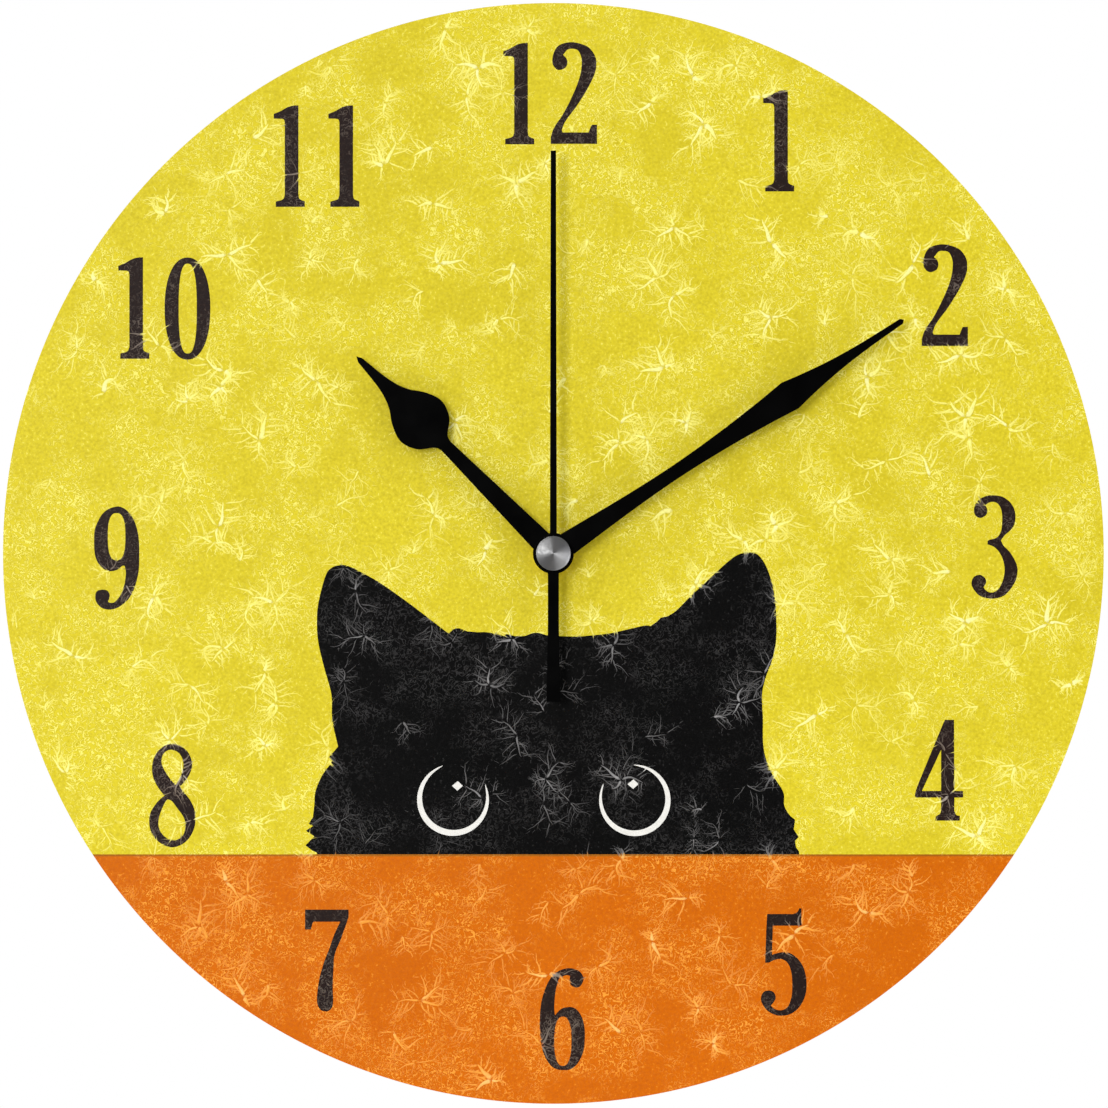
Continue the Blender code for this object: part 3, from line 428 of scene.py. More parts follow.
def copied(node: str, name: str) -> bpy.types.Mesh:
    """A copy of a node's mesh with its doubles merged and its flat faces made whole.

    Args:
        node: The node's name in the frame.
        name: The copy's name.

    Returns:
        The mesh.
    """
    mesh = bpy.data.objects[node].data.copy()
    mesh.name = name
    mesh.materials.clear()
    seal(mesh, within=2e-6, flatten=math.radians(1.0))
    return mesh


def weigh_box_edges(mesh: bpy.types.Mesh, low: Array, high: Array) -> None:
    """Gives a bevel weight of one to the edges that run along the edges of a box.

    Such an edge has both of its ends on the same two of the box's six planes.

    Args:
        mesh: The mesh.
        low: The box's least corner.
        high: The box's greatest corner.
    """
    points = np.empty(3 * len(mesh.vertices), np.float32)
    mesh.vertices.foreach_get("co", points)
    ends = np.empty(2 * len(mesh.edges), np.int32)
    mesh.edges.foreach_get("vertices", ends)
    planes = np.concatenate([low, high])
    on_plane = np.abs(np.tile(points.reshape(-1, 3), 2) - planes) < 0.01 * MM
    shared = on_plane[ends[0::2]] & on_plane[ends[1::2]]
    weights = mesh.attributes.new("bevel_weight_edge", "FLOAT", "EDGE")
    weights.data.foreach_set("value", (shared.sum(axis=1) >= 2).astype(np.float32))


def soften_edges(piece: bpy.types.Object, width: float, segments: int = 2,
                 angle: float = 40.0, weighed: bool = False) -> None:
    """Rounds the sharp edges of a piece with a live bevel.

    Args:
        piece: The piece.
        width: How far from the edge the rounding starts.
        segments: How many faces it has across.
        angle: Edges flatter than this are left, in degrees.
        weighed: Whether to round the edges with a bevel weight, and no others.
    """
    rounding = piece.modifiers.new("rounded_edges", "BEVEL")
    rounding.width = width
    rounding.segments = segments
    rounding.limit_method = "WEIGHT" if weighed else "ANGLE"
    rounding.angle_limit = math.radians(angle)
    rounding.harden_normals = True
    rounding.use_clamp_overlap = True


# Finishes


def blank(name: str) -> tuple[bpy.types.Material, bpy.types.Nodes, bpy.types.NodeLinks]:
    """A new material with an empty node tree, its nodes and its links."""
    material = bpy.data.materials.new(name)
    material.use_nodes = True
    material.node_tree.nodes.clear()
    return material, material.node_tree.nodes, material.node_tree.links


def lay_out(nodes: bpy.types.Nodes, effects: dict[str, tuple[bpy.types.Node, ...]]) -> None:
    """Frames the nodes of each effect under its label, a row to an effect, from left to right.

    Args:
        nodes: The tree's nodes.
        effects: The nodes of each effect, in the order that they are drawn.
    """
    for row, (label, members) in enumerate(effects.items()):
        effect = nodes.new("NodeFrame")
        effect.label = label
        for column, node in enumerate(members):
            node.parent = effect
            node.location = (column * NODE_STEP, -row * NODE_ROW)


@dataclass(frozen=True)
class PrintedInk:
    """Ink under a clear film that has shrunk in patches into fine worm-like crackle.

    Attributes:
        name: The material's name.
        ground: The ink's own colour.
        pale: The colour of the crackle's ridges, lifted film with a painted highlight, and of
            painted glints.
        dark: Painted shade in the ink beside a ridge, and the colour of its speckle and
            unevenness.
        crackle: How much of the ridges' colours shows.
        speckle: How much of the dark colour shows in the speckle.
        gloss: The film's specular level.
    """

    name: str
    ground: Colour
    pale: Colour
    dark: Colour
    crackle: float = 0.85
    speckle: float = 0.7
    gloss: float = 0.08

    def make(self) -> bpy.types.Material:
        """Writes the ink out as a node tree.

        Returns:
            The material.
        """
        material, nodes, links = blank(self.name)
        place_on = nodes.new("ShaderNodeTexCoord")
        place_on.label = "place on the face"
        patches = nodes.new("ShaderNodeTexNoise")
        patches.label = "patches where the film shrank"
        patch_edge = nodes.new("ShaderNodeMapRange")
        patch_edge.label = "soft edge of a patch"
        worms = nodes.new("ShaderNodeTexNoise")
        worms.label = "winding of the crackle"
        from_middle = nodes.new("ShaderNodeMath")
        from_middle.label = "distance from a ridge"
        both_sides = nodes.new("ShaderNodeMath")
        both_sides.label = "on either side"
        # The ridge's pale is lifted film with a painted highlight, and the dark band beside it is
        # painted shade
        ridge = nodes.new("ShaderNodeValToRGB")
        ridge.label = "ridge with painted highlight and painted shade beside it"
        height = nodes.new("ShaderNodeMapRange")
        height.label = "height of a ridge"
        lift = nodes.new("ShaderNodeMath")
        lift.label = "ridges only in a patch"
        grain = nodes.new("ShaderNodeTexNoise")
        grain.label = "speckle of the ink"
        grain_mask = nodes.new("ShaderNodeMapRange")
        grain_mask.label = "strength of the speckle"
        # The pale pinprick dots on the film are painted glints
        painted_glints = nodes.new("ShaderNodeMapRange")
        painted_glints.label = "painted glints on the film"
        cloud = nodes.new("ShaderNodeTexNoise")
        cloud.label = "slow unevenness of the print"
        cloud_mask = nodes.new("ShaderNodeMapRange")
        cloud_mask.label = "strength of the unevenness"
        speckled = nodes.new("ShaderNodeMix")
        speckled.label = "ink with its speckle"
        clouded = nodes.new("ShaderNodeMix")
        clouded.label = "ink with its unevenness"
        ink_with_painted_glints = nodes.new("ShaderNodeMix")
        ink_with_painted_glints.label = "ink with painted glints"
        crackled = nodes.new("ShaderNodeMix")
        crackled.label = "ink with its crackle"
        lifted = nodes.new("ShaderNodeBump")
        lifted.label = "lifted ridges"
        pebbled = nodes.new("ShaderNodeBump")
        pebbled.label = "pebbled film"
        dulled = nodes.new("ShaderNodeMapRange")
        dulled.label = "film duller where it speckles"
        film = nodes.new("ShaderNodeBsdfPrincipled")
        film.label = "ink under clear film"
        surface = nodes.new("ShaderNodeOutputMaterial")
        surface.label = "face"
        lay_out(nodes, {
            "crackle patches": (place_on, patches, patch_edge),
            "worm-like ridges": (worms, from_middle, both_sides, ridge, height, lift),
            "speckle": (grain, grain_mask, painted_glints, cloud, cloud_mask, dulled),
            "colour": (speckled, clouded, ink_with_painted_glints, crackled),
            "relief and gloss": (lifted, pebbled, film, surface),
        })

        for texture, scale, detail in ((patches, 78.0, 4.0), (worms, 760.0, 1.5),
                                       (grain, 1500.0, 2.0), (cloud, 34.0, 4.0)):
            texture.inputs["Scale"].default_value = scale
            texture.inputs["Detail"].default_value = detail
        patches.inputs["Roughness"].default_value = 0.6
        worms.inputs["Distortion"].default_value = 1.3
        for span, start, end, least, most in (
                (patch_edge, 0.44, 0.60, 0.07 * self.crackle, self.crackle),
                (height, 0.0, 0.05, 1.0, 0.0),
                (grain_mask, 0.38, 0.70, 0.0, self.speckle),
                (painted_glints, 0.36, 0.28, 0.0, 0.5 * self.crackle),
                (cloud_mask, 0.35, 0.75, 0.0, 0.55 * self.speckle),
                (dulled, 0.0, 1.0, 0.20, 0.36)):
            span.inputs["From Min"].default_value = start
            span.inputs["From Max"].default_value = end
            span.inputs["To Min"].default_value = least
            span.inputs["To Max"].default_value = most
        from_middle.operation = "SUBTRACT"
        from_middle.inputs[1].default_value = 0.5
        both_sides.operation = "ABSOLUTE"
        # Across a ridge: its pale with a painted highlight, then ground, a band of painted shade,
        # then ground again
        stops = ridge.color_ramp.elements
        stops[0].position, stops[0].color = 0.014, (*self.pale, 1.0)
        stops[1].position, stops[1].color = 0.100, (*self.ground, 1.0)
        for position, colour in ((0.044, self.ground), (0.062, self.dark)):
            stops.new(position).color = (*colour, 1.0)
        lift.operation = "MULTIPLY"
        for mixed in (speckled, clouded, ink_with_painted_glints, crackled):
            mixed.data_type = "RGBA"
        speckled.inputs["A"].default_value = (*self.ground, 1.0)
        speckled.inputs["B"].default_value = (*self.dark, 1.0)
        clouded.inputs["B"].default_value = (*self.dark, 1.0)
        ink_with_painted_glints.inputs["B"].default_value = (*self.pale, 1.0)
        lifted.inputs["Strength"].default_value = 0.45
        lifted.inputs["Distance"].default_value = 0.00008
        pebbled.inputs["Strength"].default_value = 0.3
        pebbled.inputs["Distance"].default_value = 0.00004
        film.inputs["Specular IOR Level"].default_value = self.gloss

        for texture in (patches, worms, grain, cloud):
            links.new(place_on.outputs["Object"], texture.inputs["Vector"])
        links.new(patches.outputs["Fac"], patch_edge.inputs["Value"])
        links.new(worms.outputs["Fac"], from_middle.inputs[0])
        links.new(from_middle.outputs[0], both_sides.inputs[0])
        links.new(both_sides.outputs[0], ridge.inputs["Fac"])
        links.new(both_sides.outputs[0], height.inputs["Value"])
        links.new(height.outputs["Result"], lift.inputs[0])
        links.new(patch_edge.outputs["Result"], lift.inputs[1])
        links.new(grain.outputs["Fac"], grain_mask.inputs["Value"])
        links.new(grain.outputs["Fac"], painted_glints.inputs["Value"])
        links.new(cloud.outputs["Fac"], cloud_mask.inputs["Value"])
        links.new(grain_mask.outputs["Result"], speckled.inputs["Factor"])
        links.new(speckled.outputs["Result"], clouded.inputs["A"])
        links.new(cloud_mask.outputs["Result"], clouded.inputs["Factor"])
        links.new(clouded.outputs["Result"], ink_with_painted_glints.inputs["A"])
        links.new(painted_glints.outputs["Result"], ink_with_painted_glints.inputs["Factor"])
        links.new(ink_with_painted_glints.outputs["Result"], crackled.inputs["A"])
        links.new(ridge.outputs["Color"], crackled.inputs["B"])
        links.new(patch_edge.outputs["Result"], crackled.inputs["Factor"])
        links.new(crackled.outputs["Result"], film.inputs["Base Color"])
        links.new(lift.outputs[0], lifted.inputs["Height"])
        links.new(grain.outputs["Fac"], pebbled.inputs["Height"])
        links.new(lifted.outputs["Normal"], pebbled.inputs["Normal"])
        links.new(pebbled.outputs["Normal"], film.inputs["Normal"])
        links.new(grain.outputs["Fac"], dulled.inputs["Value"])
        links.new(dulled.outputs["Result"], film.inputs["Roughness"])
        links.new(film.outputs["BSDF"], surface.inputs["Surface"])
        return material


@dataclass(frozen=True)
class CreasedFilm:
    """Clear film puckered into a crease, which takes the colour of the ink beneath it, paled as a
    painted highlight and darkened as painted shade.

    Attributes:
        name: The material's name.
        gloss: The film's specular level.
    """

    name: str
    gloss: float

    def make(self) -> bpy.types.Material:
        """Writes the film out as a node tree.

        Returns:
            The material.
        """
        material, nodes, links = blank(self.name)
        # The stored colour is the ink's, paled along the top as a painted highlight and darkened
        # at the feet as painted shade
        tint = nodes.new("ShaderNodeAttribute")
        tint.label = "painted highlight and shade stored along each crease"
        place_on = nodes.new("ShaderNodeTexCoord")
        place_on.label = "place on the face"
        grit = nodes.new("ShaderNodeTexNoise")
        grit.label = "unevenness along a crease"
        span = nodes.new("ShaderNodeMapRange")
        span.label = "from thin film to thick"
        toned = nodes.new("ShaderNodeVectorMath")
        toned.label = "colour with its unevenness"
        wrinkled = nodes.new("ShaderNodeBump")
        wrinkled.label = "wrinkled film"
        film = nodes.new("ShaderNodeBsdfPrincipled")
        film.label = "puckered film"
        surface = nodes.new("ShaderNodeOutputMaterial")
        surface.label = "crease"
        lay_out(nodes, {
            "colour": (tint, toned),
            "unevenness": (place_on, grit, span),
            "relief and gloss": (wrinkled, film, surface),
        })

        tint.attribute_name = "tint"
        grit.inputs["Scale"].default_value = 2200.0
        span.inputs["From Min"].default_value = 0.3
        span.inputs["From Max"].default_value = 0.7
        span.inputs["To Min"].default_value = 0.86
        span.inputs["To Max"].default_value = 1.08
        toned.operation = "SCALE"
        wrinkled.inputs["Strength"].default_value = 0.2
        wrinkled.inputs["Distance"].default_value = 0.00003
        film.inputs["Roughness"].default_value = 0.42
        film.inputs["Specular IOR Level"].default_value = self.gloss

        links.new(place_on.outputs["Object"], grit.inputs["Vector"])
        links.new(grit.outputs["Fac"], span.inputs["Value"])
        links.new(tint.outputs["Color"], toned.inputs[0])
        links.new(span.outputs["Result"], toned.inputs["Scale"])
        links.new(toned.outputs["Vector"], film.inputs["Base Color"])
        links.new(grit.outputs["Fac"], wrinkled.inputs["Height"])
        links.new(wrinkled.outputs["Normal"], film.inputs["Normal"])
        links.new(film.outputs["BSDF"], surface.inputs["Surface"])
        return material


@dataclass(frozen=True)
class Finish:
    """A plain surface: patches of a second colour, and a fine grain with a few specks.

    Attributes:
        name: The material's name.
        colour: Its main colour.
        other: The colour of its patches and specks.
        roughness: Its mean roughness.
        gloss: Its specular level.
        grain: How many grains there are in a metre.
        coarse: How coarse the grain is within itself, from 0 to 1.
        depth: How deep the grain is, in metres.
        relief: How much of that depth shows.
        stretch: How much the grain is pressed together along X, Y and Z.
        patches: How much of the other colour shows in its patches.
        patch_scale: How many patches there are in a metre, or 0 where they go by the grain.
        patch_edge: The levels of the noise between which a patch fades in.
        specks: How much of the other colour shows in its specks.
        polish: The least and greatest roughness beside the mean.
        metal: 1 for bare metal, whose shine follows its grain, and 0 for anything else.
        turned: How much its shine is drawn across rings round the hands' axis, from 0 to 1.
        clear: The weight of a clear coat over it.
    """

    name: str
    colour: Colour
    other: Colour
    roughness: float
    gloss: float = 0.5
    grain: float = 900.0
    coarse: float = 0.6
    depth: float = 0.00004
    relief: float = 0.4
    stretch: Colour = (1.0, 1.0, 1.0)
    patches: float = 0.5
    patch_scale: float = 0.0
    patch_edge: Point = (0.3, 0.75)
    specks: float = 0.6
    polish: Point = (0.85, 1.15)
    metal: float = 0.0
    turned: float = 0.0
    clear: float = 0.0

    def make(self) -> bpy.types.Material:
        """Writes the finish out as a node tree.

        Returns:
            The material.
        """
        material, nodes, links = blank(self.name)
        place_on = nodes.new("ShaderNodeTexCoord")
        place_on.label = "place on the piece"
        drawn_out = nodes.new("ShaderNodeMapping")
        drawn_out.label = "direction of the grain"
        patches = nodes.new("ShaderNodeTexNoise")
        patches.label = "patches of the second colour"
        patch_span = nodes.new("ShaderNodeMapRange")
        patch_span.label = "strength of the patches"
        grains = nodes.new("ShaderNodeTexNoise")
        grains.label = "grain or tool marks"
        specks = nodes.new("ShaderNodeMapRange")
        specks.label = "specks"
        patched = nodes.new("ShaderNodeMix")
        patched.label = "colour with its patches"
        specked = nodes.new("ShaderNodeMix")
        specked.label = "colour with its specks"
        polish = nodes.new("ShaderNodeMapRange")
        polish.label = "handled places shine more"
        relief = nodes.new("ShaderNodeBump")
        relief.label = "relief of the grain"
        body = nodes.new("ShaderNodeBsdfPrincipled")
        body.label = "body"
        surface = nodes.new("ShaderNodeOutputMaterial")
        surface.label = "surface"
        lay_out(nodes, {
            "patches": (place_on, drawn_out, patches, patch_span, patched),
            "grain": (grains, specks, specked),
            "relief and shine": (relief, polish, body, surface),
        })

        drawn_out.inputs["Scale"].default_value = self.stretch
        patches.inputs["Scale"].default_value = self.patch_scale or 0.06 * self.grain
        patches.inputs["Detail"].default_value = 5.0
        patch_span.inputs["From Min"].default_value = self.patch_edge[0]
        patch_span.inputs["From Max"].default_value = self.patch_edge[1]
        patch_span.inputs["To Max"].default_value = self.patches
        grains.inputs["Scale"].default_value = self.grain
        grains.inputs["Detail"].default_value = 4.0
        grains.inputs["Roughness"].default_value = self.coarse
        specks.inputs["From Min"].default_value = 0.66
        specks.inputs["From Max"].default_value = 0.74
        specks.inputs["To Max"].default_value = self.specks
        patched.data_type = "RGBA"
        patched.inputs["A"].default_value = (*self.colour, 1.0)
        patched.inputs["B"].default_value = (*self.other, 1.0)
        specked.data_type = "RGBA"
        specked.inputs["B"].default_value = (*self.other, 1.0)
        polish.inputs["From Min"].default_value = 0.3
        polish.inputs["From Max"].default_value = 0.7
        polish.inputs["To Min"].default_value = self.polish[0] * self.roughness
        polish.inputs["To Max"].default_value = self.polish[1] * self.roughness
        relief.inputs["Strength"].default_value = self.relief
        relief.inputs["Distance"].default_value = self.depth
        body.inputs["Metallic"].default_value = self.metal
        body.inputs["Specular IOR Level"].default_value = self.gloss
        body.inputs["Anisotropic"].default_value = self.turned
        body.inputs["Coat Weight"].default_value = self.clear
        body.inputs["Coat Roughness"].default_value = 0.12

        # Tarnish ignores the way that a metal was drawn, and its marks set its shine
        spread_on = place_on.outputs["Object"] if self.metal else drawn_out.outputs["Vector"]
        shining = grains if self.metal else patches
        links.new(place_on.outputs["Object"], drawn_out.inputs["Vector"])
        links.new(spread_on, patches.inputs["Vector"])
        links.new(drawn_out.outputs["Vector"], grains.inputs["Vector"])
        links.new(patches.outputs["Fac"], patch_span.inputs["Value"])
        links.new(patch_span.outputs["Result"], patched.inputs["Factor"])
        links.new(grains.outputs["Fac"], specks.inputs["Value"])
        links.new(patched.outputs["Result"], specked.inputs["A"])
        links.new(specks.outputs["Result"], specked.inputs["Factor"])
        links.new(specked.outputs["Result"], body.inputs["Base Color"])
        links.new(shining.outputs["Fac"], polish.inputs["Value"])
        links.new(polish.outputs["Result"], body.inputs["Roughness"])
        links.new(grains.outputs["Fac"], relief.inputs["Height"])
        links.new(relief.outputs["Normal"], body.inputs["Normal"])
        links.new(body.outputs["BSDF"], surface.inputs["Surface"])
        if self.turned:
            rings = nodes.new("ShaderNodeTangent")
            rings.label = "rings of the lathe"
            lay_out(nodes, {"lathe": (rings,)})
            rings.direction_type = "RADIAL"
            rings.axis = "Y"
            body.inputs["Anisotropic Rotation"].default_value = 0.25
            links.new(rings.outputs["Tangent"], body.inputs["Tangent"])
        return material


@dataclass(frozen=True)
class Metal(Finish):
    """Worked metal: fine tool marks, and patches of tarnish in place of specks."""

    coarse: float = 0.5
    depth: float = 0.00001
    relief: float = 0.3
    patches: float = 1.0
    patch_scale: float = 260.0
    patch_edge: Point = (0.42, 0.72)
    specks: float = 0.0
    polish: Point = (0.8, 1.25)
    metal: float = 1.0


@dataclass(frozen=True)
class PrintedSleeve:
    """A shrunk sleeve printed in plain bands along the cell, glossy and a little scuffed.

    Attributes:
        name: The material's name.
        body: The colour of its main band.
        end: The colour of the band at the positive end.
        line: The colour of the thin lines between them.
        ends: Where the sleeve starts and ends along X, in metres.
    """

    name: str
    body: Colour
    end: Colour
    line: Colour
    ends: Point = (-0.0246, 0.0249)

    def make(self) -> bpy.types.Material:
        """Writes the sleeve out as a node tree.

        Returns:
            The material.
        """
        material, nodes, links = blank(self.name)
        place_on = nodes.new("ShaderNodeTexCoord")
        place_on.label = "place on the cell"
        parted = nodes.new("ShaderNodeSeparateXYZ")
        parted.label = "distance along the cell"
        along = nodes.new("ShaderNodeMapRange")
        along.label = "from one end to the other"
        bands = nodes.new("ShaderNodeValToRGB")
        bands.label = "printed bands"
        scuffs = nodes.new("ShaderNodeTexNoise")
        scuffs.label = "scuffs"
        worn = nodes.new("ShaderNodeMapRange")
        worn.label = "strength of the scuffs"
        scuffed = nodes.new("ShaderNodeMix")
        scuffed.label = "bands with scuffs"
        dulled = nodes.new("ShaderNodeMapRange")
        dulled.label = "duller where it is scuffed"
        wavy = nodes.new("ShaderNodeBump")
        wavy.label = "ripples left by shrinking"
        sleeve = nodes.new("ShaderNodeBsdfPrincipled")
        sleeve.label = "sleeve"
        surface = nodes.new("ShaderNodeOutputMaterial")
        surface.label = "surface"
        lay_out(nodes, {
            "bands": (place_on, parted, along, bands),
            "scuffs": (scuffs, worn, scuffed),
            "relief and gloss": (dulled, wavy, sleeve, surface),
        })

        along.inputs["From Min"].default_value = self.ends[0]
        along.inputs["From Max"].default_value = self.ends[1]
        bands.color_ramp.interpolation = "CONSTANT"
        stops = bands.color_ramp.elements
        stops[0].position, stops[0].color = 0.0, (*self.line, 1.0)
        stops[1].position, stops[1].color = 0.03, (*self.body, 1.0)
        for position, colour in ((0.66, self.line), (0.68, self.end), (0.965, self.line)):
            stops.new(position).color = (*colour, 1.0)
        scuffs.inputs["Scale"].default_value = 420.0
        scuffs.inputs["Detail"].default_value = 5.0
        worn.inputs["From Min"].default_value = 0.55
        worn.inputs["From Max"].default_value = 0.80
        worn.inputs["To Max"].default_value = 0.35
        scuffed.data_type = "RGBA"
        scuffed.inputs["B"].default_value = (0.45, 0.45, 0.44, 1.0)
        dulled.inputs["To Min"].default_value = 0.20
        dulled.inputs["To Max"].default_value = 0.42
        wavy.inputs["Strength"].default_value = 0.15
        wavy.inputs["Distance"].default_value = 0.00005

        links.new(place_on.outputs["Object"], parted.inputs[0])
        links.new(place_on.outputs["Object"], scuffs.inputs["Vector"])
        links.new(parted.outputs["X"], along.inputs["Value"])
        links.new(along.outputs["Result"], bands.inputs["Fac"])
        links.new(scuffs.outputs["Fac"], worn.inputs["Value"])
        links.new(bands.outputs["Color"], scuffed.inputs["A"])
        links.new(worn.outputs["Result"], scuffed.inputs["Factor"])
        links.new(scuffed.outputs["Result"], sleeve.inputs["Base Color"])
        links.new(scuffs.outputs["Fac"], dulled.inputs["Value"])
        links.new(dulled.outputs["Result"], sleeve.inputs["Roughness"])
        links.new(scuffs.outputs["Fac"], wavy.inputs["Height"])
        links.new(wavy.outputs["Normal"], sleeve.inputs["Normal"])
        links.new(sleeve.outputs["BSDF"], surface.inputs["Surface"])
        return material


# The printed face


class Ink(Enum):
    """The inks of the face, by their place among the film's materials."""

    YELLOW = 0
    ORANGE = 1
    CAT = 2
    NUMERAL = 3
    EYE = 4
    EDGE = 5


# Outlines of the numerals, in millimetres from the middle of each
ONE: tuple[Run, ...] = (
    (1.85, 11.85), ((1.85, -8.4), (2.1, -9.4)), (3.3, -9.95), (3.3, -11.2),
    (-3.3, -11.2), ((-3.3, -10.0), (-1.7, -9.5)), (-1.25, -8.5),
    ((-1.25, 7.9), (-1.45, 8.6), (-2.1, 8.8)), (-3.75, 8.85),
    ((-3.75, 9.9), (-2.2, 10.55), (-0.6, 11.45), (0.8, 11.8)))
TWO: tuple[Run, ...] = (
    ((-2.7, 9.1), (-2.0, 8.4), (-1.7, 7.5), (-2.0, 6.4), (-2.9, 5.8), (-4.0, 5.75), (-4.8, 6.5),
     (-5.14, 7.5), (-5.0, 9.0), (-4.3, 10.6), (-3.0, 11.6), (-0.4, 12.0), (2.5, 11.2),
     (3.9, 10.0), (4.7, 8.5), (4.85, 7.0), (4.7, 5.6), (4.1, 3.9), (3.0, 1.7), (2.0, 0.0),
     (0.4, -2.5), (-1.5, -5.0), (-2.45, -6.5)),
    (-3.0, -8.0), (-2.8, -8.5), ((3.1, -8.5), (3.7, -7.0)), (4.0, -6.75),
    (5.0, -6.75), (5.0, -11.1), (-5.5, -11.1),
    ((-5.5, -9.6), (-5.0, -8.0), (-4.2, -6.5), (-3.1, -5.0), (-1.7, -2.5), (-0.5, 0.0),
     (0.55, 2.5), (1.3, 5.0), (1.55, 7.5), (1.3, 9.0), (0.6, 10.2), (-0.6, 10.5), (-1.7, 10.3)))
THREE: tuple[Run, ...] = (
    ((-2.4, 9.55), (-1.95, 8.6), (-2.2, 7.4), (-3.5, 6.7), (-4.6, 7.2), (-4.97, 8.2),
     (-4.8, 9.4), (-3.8, 10.9), (-2.1, 11.7), (-0.5, 11.85), (1.5, 11.5), (3.1, 10.4),
     (4.1, 8.9), (4.45, 7.1), (4.2, 5.25), (3.3, 3.9), (2.0, 2.75)),
    ((1.15, 1.6), (1.75, 0.4), (3.0, -0.85), (4.1, -2.5), (4.8, -4.2), (4.9, -5.6),
     (4.5, -7.5), (3.3, -9.5), (1.75, -11.0), (-0.2, -11.6), (-1.9, -11.55), (-3.8, -10.9),
     (-5.05, -9.5), (-5.55, -8.2), (-5.1, -6.8), (-3.8, -6.2), (-2.6, -6.8), (-2.2, -7.85)),
    ((-2.8, -9.05), (-2.4, -9.6), (-1.6, -10.15), (-0.5, -10.15), (0.65, -9.35), (1.45, -7.8),
     (1.9, -6.1), (1.95, -4.5), (1.6, -2.8), (0.9, -1.3), (-0.05, -0.15), (-1.0, 0.4)),
    (-1.9, 0.7),
    ((-1.9, 1.4), (-1.45, 1.75), (-0.2, 2.05), (0.65, 2.7), (1.2, 3.85), (1.4, 5.5),
     (1.4, 7.5), (1.05, 9.0), (0.35, 10.0), (-0.6, 10.35), (-1.6, 10.15)))
FOUR: tuple[Run, ...] = (
    (1.25, 11.8), (3.3, 11.8), (3.35, -4.35), (5.3, -4.35), (5.4, -5.85),
    (3.4, -5.85), ((3.35, -8.8), (3.8, -9.8)), (4.6, -10.0), (4.6, -11.1),
    (-0.95, -11.1), ((-0.85, -10.1), (0.05, -9.6)), (0.35, -8.8), (0.35, -5.85),
    ((-5.25, -5.85), (-5.6, -5.45), (-5.3, -4.05)), (-4.7, -2.4), ((0.3, 9.7), (0.8, 10.9)))
FOUR_EYE: tuple[Run, ...] = ((0.35, 5.0), (0.35, -4.35), (-4.0, -4.35))
FIVE: tuple[Run, ...] = (
    (-3.7, 11.6), ((2.2, 11.6), (3.1, 12.0)), (3.6, 12.9), (4.1, 12.9),
    (4.1, 8.95), (-2.4, 8.95),
    ((-2.6, 2.3), (-1.5, 2.7), (0.1, 2.95), (1.5, 2.7), (3.0, 1.7), (4.3, 0.0), (5.0, -2.0),
     (5.25, -4.2), (5.1, -6.3), (4.4, -8.3), (3.2, -10.0), (1.4, -11.2), (-0.5, -11.5),
     (-2.2, -11.2), (-3.8, -10.2), (-4.9, -8.6), (-5.1, -7.4), (-4.6, -6.2), (-3.4, -5.75),
     (-2.2, -6.2), (-1.75, -7.4), (-2.2, -8.4)),
    ((-2.85, -9.2), (-2.5, -9.6), (-1.6, -10.15), (-0.5, -10.25), (0.5, -9.9), (1.3, -8.9),
     (1.9, -6.8), (2.0, -4.2), (1.85, -2.0), (1.3, -0.1), (0.4, 1.0), (-0.8, 1.4), (-2.2, 1.1)),
    (-3.3, 0.55), (-4.15, 0.5), (-3.9, 8.0))
SIX: tuple[Run, ...] = (
    ((-1.85, 0.8), (-2.0, 2.5), (-1.9, 4.5), (-1.6, 6.8), (-1.0, 8.9), (-0.5, 9.4), (0.65, 9.9)),
    ((1.6, 9.75), (1.5, 8.9), (1.75, 7.75), (2.9, 7.1), (4.0, 7.5), (4.65, 8.9), (4.4, 9.9),
     (3.7, 10.8), (2.5, 11.35), (1.2, 11.5), (-0.5, 11.1), (-2.1, 10.1), (-3.3, 8.5),
     (-4.2, 6.4), (-4.9, 4.0), (-5.2, 1.5), (-5.3, -1.5), (-5.1, -4.5), (-4.7, -7.0),
     (-3.9, -9.0), (-2.7, -10.7), (-1.3, -11.5), (0.2, -11.65), (1.6, -11.5), (3.0, -10.5),
     (4.2, -8.6), (4.8, -6.5), (4.95, -4.0), (4.85, -1.8), (4.3, 0.3), (3.3, 1.9), (2.2, 2.6),
     (1.0, 2.65), (-0.5, 2.2)))
SEVEN: tuple[Run, ...] = (
    (-5.0, 11.4), (4.9, 11.4),
    ((4.9, 9.8), (4.5, 8.5), (3.7, 6.3), (3.0, 4.3), (2.1, 2.3), (1.6, 0.5), (1.5, -1.5),
     (1.35, -4.0), (1.3, -7.0), (1.4, -9.0), (1.2, -10.7), (0.35, -11.6), (-0.5, -11.7),
     (-1.5, -11.35), (-2.15, -10.2), (-2.3, -8.7), (-2.15, -7.0), (-1.8, -4.5), (-1.15, -2.0),
     (-0.4, 0.3), (0.5, 2.5), (1.35, 5.0), (2.2, 7.0)),
    (3.0, 8.65), ((-3.0, 8.65), (-3.3, 8.3)), (-3.65, 6.9), (-5.0, 6.85))
